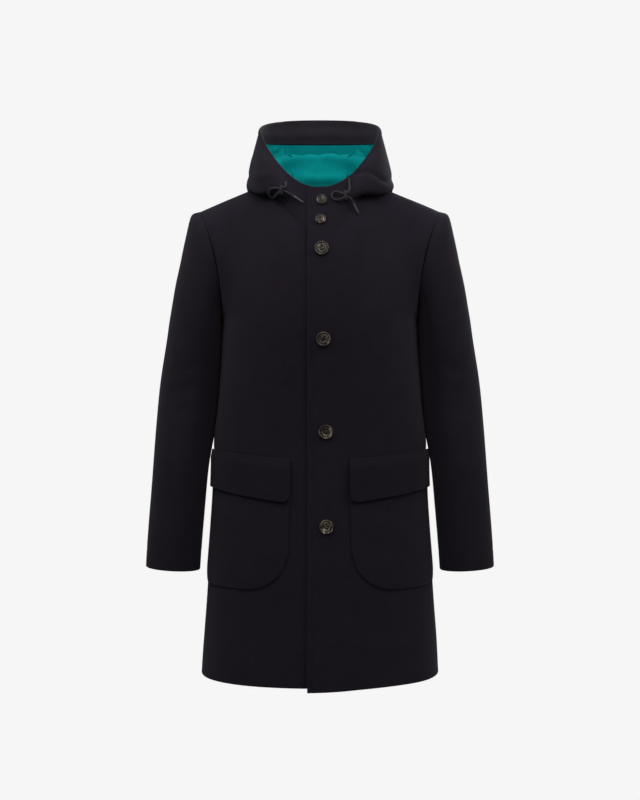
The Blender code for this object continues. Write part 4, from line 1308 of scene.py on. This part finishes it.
# Where the hem's stitches catch the cloth, and the grid lines beside the lap's edges
HEM_PLACES = (
    -0.196, -0.158, -0.131, -0.094, -0.063, -0.041, 0.012, 0.028, 0.052, 0.081, 0.098, 0.121,
    0.149, 0.176, 0.201,
)
UNDER_LAP_LINES = tuple(2 * LAP_EDGE + 0.0001 * at for at in (-24, -12, 0, 6, 12, 18, 24, 36, 48))
TOPSTITCH_LINES = tuple(TOPSTITCH + 0.0001 * at for at in (-22, -14, -8, -4, 0, 4, 8, 14, 22))


def body_base(points, normals, level, creases):
    """A body panel's evenly spaced grid, with its soft waves and folds, made smooth.

    The cloth runs smoothly on below the corner where the neck seam meets the shoulder seam.
    """
    points = drape(points, ease(*DRAPE_START, level) * ease(*DRAPE_END, level))
    rise = wave(points) * ease(*WAVE_FADE, from_sides(points))
    return relax(press(moved(points, normals, rise), normals, creases))


def drape(points, weight):
    """Evens a grid out across its columns, as far as the weight of each row says."""
    points = points.copy()
    weight = 0.25 * weight * ease(*DRAPE_FADE, from_sides(points))
    for _ in range(DRAPE_TIMES):
        bend = points[:, :-2] + points[:, 2:] - 2 * points[:, 1:-1]
        points[:, 1:-1] += bend * weight[:, 1:-1, None]
    return points


def add_front(word, side, wool):
    span = SPANS["front"]
    level = level_of(even(span.tall))[:, None]
    edge = column_at(-LAP_EDGE, level[:, 0])[:, None]
    column = edge + (SIDE_COLUMN - edge) * even(span.wide)[None, :]
    points, toward = front_surface(side, column, level)
    points = body_base(points, toward, level, laid_paths(points, 1, FRONT_FOLDS[word]))
    lines = (*EDGE, *(TOPSTITCH_LINES if side > 0 else UNDER_LAP_LINES))
    points, toward = resampled(points, toward, *span, low=lines)
    distances = edge_distances(points)
    if side > 0:
        left = distances["left"]
        points = moved(points, toward, ridge(LAP_ROLL, left) + ridge(STITCH_GROOVE, left))
    else:
        points = moved(points, toward, ridge(UNDER_LAP, points[..., 0] * side - LAP_EDGE))
    points = pucker(points, toward, distances["low"])
    edges = ("fold", "flat", "fold", "seam")
    hem = hem_layer(distances["low"], HEM_DEPTH)
    made = shell(f"front_{word}", points, toward, WOOL, edges, wool, extra=hem)
    return made, points, distances


def add_back(wool):
    span = SPANS["back"]
    level = level_of(even(span.tall))[:, None]
    column = SIDE_COLUMN * (2 * even(span.wide)[None, :] - 1)
    points = panel_point(1, column, level)
    toward = sided(panel_normal(1, np.abs(column), level), np.where(column < 0, -1.0, 1.0))
    points = body_base(points, toward, level, laid_paths(points, -1, BACK_FOLDS))
    points, toward = resampled(points, toward, *span)
    distances = edge_distances(points)
    points = pucker(points, toward, distances["low"])
    edges = ("fold", "seam", "seam", "seam")
    hem = hem_layer(distances["low"], HEM_DEPTH)
    return shell("back", points, toward, WOOL, edges, wool, extra=hem)


def add_sleeve(word, side, part, wool):
    """One sleeve piece: the top sleeve goes round the outside, the under sleeve the inside."""
    fine = np.linspace(0, SLEEVE[-1].station, 241)
    lengths = lengths_along(sleeve_point(SLEEVE_MEASURE_TURN, fine))
    tall = lengths[-1]
    start, end, wide = SLEEVE_PARTS[part]
    station = np.interp(even(tall) * tall, lengths, fine)[:, None]
    turn = start + (end - start) * even(wide)[None, :]
    points = sleeve_point(turn, station)
    around = sleeve_point(turn + 1, station) - sleeve_point(turn - 1, station)
    toward = unit(np.cross(around, np.gradient(points, axis=0)))
    creases = laid_paths(points, 1, SLEEVE_FOLDS["front"])
    creases += laid_paths(points, -1, SLEEVE_FOLDS["back"])
    if part == "top":
        rise = wave(points * 1.1 + 0.3) * ease(*WAVE_FADE, from_sides(points))
        points = moved(points, toward, rise)
    points = press(points, toward, creases)
    points, toward = resampled(points, toward, tall, wide)
    points, toward = sided(points, side), sided(toward, side)
    distances = edge_distances(points)
    points = moved(points, toward, ridge(CUFF_LINE, distances["high"]))
    edges = ("seam", "fold", "seam", "seam")
    cuff = hem_layer(distances["high"], CUFF_DEPTH)
    return shell(f"sleeve_{part}_{word}", points, toward, WOOL, edges, wool, extra=cuff)


# Creases of the hood's wool in (turn, line), by side
HOOD_FOLDS = {
    "left": (
        (
            0.0042, 0.0042, (30, 8.30), (35, 7.70), (40, 7.25), (45, 6.75), (50, 6.35),
            (56, 5.95), (68, 5.65),
        ),
        (0.0065, -0.0020, (43, 6.25), (50, 5.80), (58, 5.45), (72, 5.30), (88, 5.30)),
        (0.0060, 0.0018, (64, 5.80), (80, 5.75), (98, 5.80), (116, 5.90)),
        (0.0120, -0.0014, (90, 6.70), (108, 6.90), (126, 7.00)),
    ),
    "right": (
        (0.0045, 0.0022, (70, 5.95), (62, 5.75), (55, 5.45), (49, 5.05)),
        (0.0090, -0.0022, (42, 6.70), (48, 6.30), (54, 6.10), (62, 6.20)),
        (0.0080, -0.0018, (58, 5.10), (68, 5.25), (80, 5.35)),
        (0.0060, 0.0018, (70, 6.00), (86, 5.90), (104, 5.95)),
        (0.0100, -0.0010, (80, 6.60), (100, 6.70), (118, 6.90)),
    ),
}
# Folds of the lining, raised toward the hollow where the depth is above 0, in (turn, line)
COLLAR_RIDGE = ((106, 1.86), (116, 1.98), (128, 2.04), (140, 2.04), (150, 2.00), (160, 1.98))
LINING_FOLDS = {
    "left": (
        (0.0130, 0.0115, *COLLAR_RIDGE),
        (0.0050, 0.0140, (151, 7.34), (148, 7.26), (142, 7.12), (134, 7.10), (126, 7.22)),
        (0.0040, 0.0070, (139, 7.32), (134, 7.26), (127, 7.32)),
        (0.0040, 0.0110, (137, 7.04), (128, 7.00), (119, 7.04)),
        (0.0060, 0.0030, (118, 0.80), (126, 1.10), (134, 1.60)),
    ),
    "right": (
        (0.0130, 0.0115, *COLLAR_RIDGE),
        (0.0052, 0.0140, (112, 7.32), (120, 7.20), (131, 7.06), (142, 7.10), (149, 7.34)),
        (0.0042, 0.0070, (118, 7.32), (126, 7.25), (133, 7.24), (139, 7.32)),
        (0.0044, 0.0110, (140, 6.94), (130, 6.92), (118, 7.00)),
        (0.0042, 0.0065, (117, 2.05), (122, 1.45), (128, 0.95), (134, 0.55)),
        (0.0036, -0.0024, (124, 2.05), (129, 1.55), (135, 1.05), (142, 0.65)),
    ),
    "centre": (
        (0.0130, 0.0115, *COLLAR_RIDGE),
        (0.0130, 0.0115, *((360 - turn, line) for turn, line in COLLAR_RIDGE)),
        (0.0100, 0.0060, (158, 2.00), (165, 2.02), (172, 2.02), (180, 2.00)),
        (0.0100, 0.0040, (182, 2.00), (188, 2.02), (194, 2.02), (200, 2.00)),
        (0.0110, 0.0080, (140, 0.50), (158, 0.44), (180, 0.42), (202, 0.44), (220, 0.50)),
        (0.0030, 0.0016, (168, 7.42), (168.5, 7.30), (168, 7.18)),
        (0.0030, 0.0016, (192, 7.42), (191.5, 7.30), (192, 7.18)),
    ),
}
FACING_FOLDS = (
    (
        0.0080, 0.0034, (96, 7.72), (120, 7.66), (150, 7.64), (180, 7.66), (210, 7.63),
        (240, 7.67), (264, 7.72),
    ),
)
HOOD_INSIDE = WOOL + LAYER_GAP


def line_of(share, turn, last=RIM_LINE):
    """The hood's line at shares of its whole way up, measured at a turn."""
    fine = np.linspace(0, last, 321)
    lengths = lengths_along(hood_point(turn, fine))
    return np.interp(share * lengths[-1], lengths, fine), lengths[-1]


def hood_creases(side, folds):
    creases = []
    for width, depth, *route in folds:
        turns, lines = np.array(route, float).T
        creases.append(Crease(hood_surface(side, turns, lines)[0], width, depth))
    return creases


def hood_grid(side, start, end, line, width, out=0.0, lap=False, folds=(), step=HOOD_ACROSS):
    """An evenly spaced grid of the hood between two edges, with its folds pressed in."""
    turn = start + (end - start) * even(width, step)[None, :]
    points, toward = hood_surface(side, turn, line[:, None], out, lap)
    return press(points, toward, hood_creases(side, folds)), toward


def rim_layer(distances):
    """The wool's extra thickness past the facing's edge, which it is turned over."""
    over = 1 - ease(*RIM_OVER, distances["high"])
    return (FACING_CLOTH + LAYER_GAP) * over


def add_hood_wool(word, side, wool):
    """A hood side, whose rim is turned over the facing's edge."""
    span = SPANS["hood_side"]
    line, tall = line_of(even(span.tall, FOLD_STEP), HOOD_SIDE_TURN)
    edge = hood_turn_at(-LAP_EDGE, line)[:, None]
    points, toward = hood_grid(
        side, edge, HOOD_SEAM_TURN, line, span.wide, lap=True, folds=HOOD_FOLDS[word]
    )
    lines = (*EDGE, *TOPSTITCH_LINES) if side > 0 else EDGE
    points, toward = resampled(points, toward, tall, span.wide, HOOD_STEP, STEP, lines)
    distances = edge_distances(points)
    if side > 0:
        points = moved(points, toward, ridge(STITCH_GROOVE, distances["left"]))
    roll = ridge(RIM_ROLL, distances["high"])
    points = moved(points, toward, roll * ease(*RIM_ROLL_START, points[..., 0] * side))
    past_lap = ease(LAP_EDGE, LAP_EDGE + LAP_FADE, points[..., 0] * side)
    over = rim_layer(distances) * past_lap
    edges = ("flat", "fold", "fold", "seam")
    made = shell(f"hood_side_{word}", points, toward, WOOL, edges, wool, extra=over)
    return made, points, distances


def add_hood_centre(wool):
    span = SPANS["hood_centre"]
    line, tall = line_of(even(span.tall, FOLD_STEP), HOOD_BACK_TURN)
    points, toward = hood_grid(1, HOOD_SEAM_TURN, 360 - HOOD_SEAM_TURN, line, span.wide)
    points, toward = resampled(points, toward, tall, span.wide, HOOD_STEP)
    edges = ("seam", "fold", "seam", "seam")
    over = rim_layer(edge_distances(points))
    return shell("hood_centre", points, toward, WOOL, edges, wool, extra=over)


def add_lining(word, side, start, end, span, at_turn, nylon):
    """A lining piece inside the hood; its seams are drawn in toward the wool."""
    line, tall = line_of(even(span.tall, LINING_FOLD_STEP), at_turn, FACING_LINE - FACING_SEAM)
    folds = LINING_FOLDS[word] + HOOD_FOLDS.get(word, ())
    points, toward = hood_grid(
        side, start, end, line, span.wide, out=-HOOD_INSIDE, folds=folds, step=LINING_FOLD_STEP
    )
    points, toward = resampled(points, toward, tall, span.wide, LINING_STEP)
    distances = edge_distances(points)
    seam = np.minimum(distances["left"], distances["right"])
    puff = LINING_PUFF * (1 - bell(seam, LINING_SEAM))
    node = f"hood_lining_{word}"
    points = moved(points, toward, -LINING_CLEAR)
    return shell(node, points, toward, LINING_CLOTH, CUT_ROUND, nylon, "teal_lining", puff)


def add_facing(wool):
    """The wool band sewn inside the rim, from one throat edge round the back to the other."""
    span = SPANS["hood_facing"]
    line = np.linspace(FACING_LINE, FACING_TOP_LINE, FACING_ROWS)
    points, toward = hood_grid(
        1, *FACING_TURNS, line, span.wide, out=-HOOD_INSIDE, folds=FACING_FOLDS
    )
    points, toward = resampled(points, toward, *span, FACING_STEP)
    return shell("hood_facing", points, toward, FACING_CLOTH, FOLDED_ROUND, wool)


# --- pockets and flaps ----------------------------------------------------------------------


def round_corner(distance, radius):
    """How far a rounded corner lifts the edge at a distance from the piece's side."""
    return turned(distance, radius, 1.0)


def patch_columns(edge_x, level, side_column, width):
    """Columns from a patch's front edge, which stands straight, to its side edge."""
    edge = column_at(edge_x, level)[:, None]
    return edge + (side_column - edge) * even(width, FOLD_STEP)[None, :]


def patch_shell(node, points, toward, wall, span, wool):
    """A pocket's or a flap's cloth, from an evenly spaced grid."""
    points = moved(points, toward, wave(points))
    points, toward = resampled(points, toward, *span, HOOD_STEP)
    return shell(node, points, toward, wall, FOLDED_ROUND, wool)


def add_pocket(word, side, wool):
    """A patch pocket with a rounded lower corner, sewn down flat round its edge."""
    span = SPANS["pocket"]
    rise = even(span.tall, FOLD_STEP)[:, None]
    level = np.full(len(rise), POCKET_EDGE_LEVEL)
    column = patch_columns(POCKET_EDGE_X, level, POCKET_SIDE_COLUMN, span.wide)
    top_x = panel_point(-1, column, level_at(POCKET_TOP_Z))[..., 0]
    low = POCKET_BOTTOM_Z + round_corner(np.maximum(top_x - POCKET_EDGE_X, 0.0), POCKET_CORNER)
    low += round_corner((POCKET_SIDE_COLUMN - column) * COLUMN_WIDTH, POCKET_SIDE_CORNER)
    level = level_at(low + (POCKET_TOP_Z - low) * rise)
    points, toward = front_surface(side, column, level, PATCH_GAP + POCKET_WALL)
    distances = edge_distances(points)
    sewn = np.minimum(np.minimum(distances["left"], distances["right"]), distances["low"])
    puff = POCKET_PUFF * ease(0.0, POCKET_PUFF_START, sewn)
    points = moved(points, toward, puff + ridge(POCKET_SEAM, sewn))
    return patch_shell(f"pocket_{word}", points, toward, POCKET_WALL, span, wool)


def add_flap(word, side, wool):
    """A pocket flap: sewn on above the pocket, it steps over it and stands a little off it."""
    span = SPANS["flap"]
    drop = even(span.tall, FLAP_FOLD_STEP)[:, None]
    level = np.full(len(drop), FLAP_EDGE_LEVEL)
    column = patch_columns(FLAP_EDGE_X, level, FLAP_SIDE_COLUMN, span.wide)
    share = ease(2.0, FLAP_SIDE_COLUMN, column)
    top_x = panel_point(-1, column, level_at(FLAP_TOP_Z))[..., 0]
    top = FLAP_TOP_Z + FLAP_TOP_RISE * share
    bottom = FLAP_BOTTOM_Z + FLAP_BOTTOM_RISE * share
    bottom = bottom + round_corner(np.maximum(top_x - FLAP_EDGE_X, 0.0), FLAP_CORNER)
    height = top + (bottom - top) * drop
    over = PATCH_GAP + (POCKET_WALL + FLAP_GAP) * ease(0.0, FLAP_STEP, top - height)
    stand = FLAP_STAND * drop * (1 - FLAP_STAND_LOSS * share)
    points, toward = front_surface(side, column, level_at(height), over + stand + FLAP_WALL)
    return patch_shell(f"flap_{word}", points, toward, FLAP_WALL, span, wool)


# --- buttons and stitches -------------------------------------------------------------------

# The turned profile in shares of the button's radius and thickness, from the middle out and back
BUTTON_PROFILE = (
    (0.00, 0.62), (0.10, 0.62), (0.17, 0.52), (0.24, 0.44), (0.33, 0.44), (0.41, 0.56),
    (0.48, 0.76), (0.54, 0.84), (0.60, 0.80), (0.66, 0.60), (0.71, 0.50), (0.76, 0.56),
    (0.81, 0.80), (0.86, 0.97), (0.90, 1.00), (0.94, 0.95), (0.98, 0.78), (1.00, 0.60),
    (0.99, 0.40), (0.95, 0.22), (0.88, 0.08), (0.78, 0.00), (0.00, 0.00),
)
# The button's grid, how each next button is turned, and its holes in the same shares
BUTTON_AROUND = 96
BUTTON_ROWS = 127
BUTTON_UPPER_ROWS = 60
BUTTON_FIRST_TURN = 0.35
BUTTON_TURN_STEP = 1.9
HOLE_PLACE = 0.235
HOLE_EDGE = (0.07125, 0.10925)
HOLE_FLOOR = 0.12

# One strand over a button, from hole to hole, in shares of the holes' reach and the thickness
THREAD_PATH = (
    (-1.0, 0.20), (-0.96, 0.52), (-0.6, 0.72), (0.0, 0.80), (0.6, 0.72), (0.96, 0.52), (1.0, 0.20),
)
THREAD_APART = 0.045
THREAD_RADIUS = 0.026
THREAD_POINTS = 18

# The topstitching: stitches that rise from the cloth in their middles and sink in at their ends
STITCH_SPACING = 0.0036
STITCH_LENGTH = 0.0027
STITCH_RADIUS = 0.00028
STITCH_POINTS = 6
STITCH_RISE = 0.00022
STITCH_SINK = 0.00028
FIRST_STITCH = 0.004
LAST_STITCH = 0.006


def button_frame(node):
    """A CAD button's middle on the cloth, its direction out, its radius and its thickness."""
    corners = np.array([vertex.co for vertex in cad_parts[node].data.vertices])
    middle = (corners.min(0) + corners.max(0)) / 2
    out = np.linalg.svd(corners - corners.mean(0))[2][-1]
    out = out * -np.sign(out[1])
    depth = (corners - middle) @ out
    flat = corners - middle - np.outer(depth, out)
    radius = np.linalg.norm(flat, axis=1).max()
    return middle + out * depth.min(), out, radius, depth.max() - depth.min()


def button_grid():
    """A four-hole button's surface in shares of its radius and thickness."""
    profile = np.array(BUTTON_PROFILE)
    rows = np.linspace(0, len(profile) - 2, BUTTON_ROWS)
    fine = through(np.arange(len(profile) - 1.0), profile[:-1], rows)
    fine = np.concatenate((fine, profile[-1:]))
    angles = np.linspace(0, 2 * math.pi, BUTTON_AROUND, endpoint=False)
    across = np.outer(fine[:, 0], np.cos(angles))
    along = np.outer(fine[:, 0], np.sin(angles))
    height = np.repeat(fine[:, 1:], BUTTON_AROUND, axis=1)
    upper = (np.arange(len(fine)) < BUTTON_UPPER_ROWS)[:, None]
    for quarter in range(4):
        angle = math.pi / 4 + quarter * math.pi / 2
        apart = np.hypot(
            across - HOLE_PLACE * math.cos(angle), along - HOLE_PLACE * math.sin(angle)
        )
        sunk = 1 - ease(*HOLE_EDGE, apart)
        height = np.where(upper, height - (height - HOLE_FLOOR) * sunk, height)
    return np.stack((across, along, height), axis=-1)


def add_button(node, turn, horn, thread):
    """A four-hole button sewn on by two bars of thread that sink into its holes."""
    base, out, radius, thickness = button_frame(node)
    size = (radius, radius, thickness)
    to_world = Vector(out).to_track_quat("Z", "Y").to_matrix() @ Matrix.Rotation(turn, 3, "Z")
    axes = np.array(to_world).T
    points = base + button_grid() * size @ axes
    faces = quads(ring_numbers(*points.shape[:2]).T)
    mesh = smooth_mesh(f"{node}_horn", points.reshape(-1, 3).tolist(), faces.tolist())
    weld(mesh)
    add_piece(f"{node}_horn", mesh, horn, "brown_horn", node)

    bars = []
    reach = HOLE_PLACE / math.sqrt(2)
    for level in (-1, 1):
        for strand in (-1, 0, 1):
            shift = level * reach + strand * THREAD_APART
            path = np.array([(reach * at, shift, height) for at, height in THREAD_PATH])
            bars.append(smooth_route(base + path * size @ axes, THREAD_POINTS))
    add_threads(f"{node}_thread", bars, THREAD_RADIUS * radius, thread)


def weld(mesh):
    """Joins the points that lie on each other, such as those at a turned shape's middle."""
    edit = bmesh.new()
    edit.from_mesh(mesh)
    bmesh.ops.remove_doubles(edit, verts=edit.verts[:], dist=1e-6)
    bmesh.ops.recalc_face_normals(edit, faces=edit.faces[:])
    edit.to_mesh(mesh)
    edit.free()
    mesh.shade_smooth()


def add_threads(name, paths, radius, thread):
    """Many short lengths of thread as one mesh."""
    points, faces = [], []
    for path in paths:
        mesh = tube_mesh("thread", path, radius, THREAD_AROUND)
        start = len(points)
        points += [tuple(vertex.co) for vertex in mesh.vertices]
        faces += [[start + at for at in face.vertices] for face in mesh.polygons]
        bpy.data.meshes.remove(mesh)
    return add_piece(name, smooth_mesh(name, points, faces), thread, "navy_wool")


def stitches_along(points, distances):
    """The topstitching: short stitches in a row at a distance from a grid's left edge."""
    line = np.array([
        [np.interp(TOPSTITCH, distance, row[:, axis]) for axis in range(3)]
        for row, distance in zip(points, distances["left"])
    ])
    end = lengths_along(line)[-1] - LAST_STITCH
    lift = np.sin(np.linspace(0, math.pi, STITCH_POINTS)) * STITCH_RISE - STITCH_SINK
    paths = []
    for start in np.arange(FIRST_STITCH, end, STITCH_SPACING):
        path = points_along(line, start + np.linspace(0.0, STITCH_LENGTH, STITCH_POINTS))
        paths.append(moved(path, FORWARD, lift))
    return paths


# --- the whole coat -------------------------------------------------------------------------


def build():
    add_view()
    add_studio()
    wool = wool_material("navy_wool_cloth", (0.0111, 0.0083, 0.0133))
    # A darker copy of the same wool for the flaps: painted shade
    shaded_flap_wool = wool_material("navy_wool_flap_painted_shade", (0.0096, 0.0072, 0.0116))
    # A lighter copy of the same wool for the facing: painted light, which the lamps don't bring
    # inside the hood's rim
    painted_light_facing_wool = wool_material("navy_wool_facing_painted_light", (0.0205, 0.0170, 0.0229))
    nylon = lining_material()
    horn = horn_material()
    yarn = cord_material()
    plastic = tip_material()
    dark_thread = thread_material("navy_thread", (0.010, 0.009, 0.013))
    button_thread = thread_material("button_thread", (0.020, 0.017, 0.018))

    add_drawcord("left", 1, CORD_LEFT, yarn, plastic)
    add_drawcord("right", -1, CORD_RIGHT, yarn, plastic)

    cloth = {}
    stitches = []
    for word, side in SIDES:
        cloth[f"front_{word}"], *front_edge = add_front(word, side, wool)
        for part in SLEEVE_PARTS:
            cloth[f"sleeve_{part}_{word}"] = add_sleeve(word, side, part, wool)
        cloth[f"hood_side_{word}"], *hood_edge = add_hood_wool(word, side, wool)
        if side > 0:
            stitches = stitches_along(*front_edge) + stitches_along(*hood_edge)
        cloth[f"hood_lining_{word}"] = add_lining(
            word, side, LINING_START_TURN, HOOD_SEAM_TURN, SPANS["hood_lining"], HOOD_SIDE_TURN,
            nylon,
        )
        cloth[f"pocket_{word}"] = add_pocket(word, side, wool)
        # The flaps take the darker copy of the wool, painted shade
        cloth[f"flap_{word}"] = add_flap(word, side, shaded_flap_wool)
    cloth["back"] = add_back(wool)
    cloth["hood_centre"] = add_hood_centre(wool)
    cloth["hood_lining_centre"] = add_lining(
        "centre", 1, HOOD_SEAM_TURN, 360 - HOOD_SEAM_TURN, SPANS["hood_lining_centre"],
        HOOD_BACK_TURN, nylon,
    )
    # The facing takes the lighter copy of the wool, painted light
    cloth["hood_facing"] = add_facing(painted_light_facing_wool)
    add_threads("placket_topstitch", stitches, STITCH_RADIUS, dark_thread)

    buttons = [node for node in sorted(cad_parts) if node.startswith("button")]
    for at, node in enumerate(buttons):
        add_button(node, BUTTON_FIRST_TURN + BUTTON_TURN_STEP * at, horn, button_thread)


# The flat piece that each sheet was cut to: the rectangle it was cut from and its own area
Cut = namedtuple("Cut", "width length area held")


build()
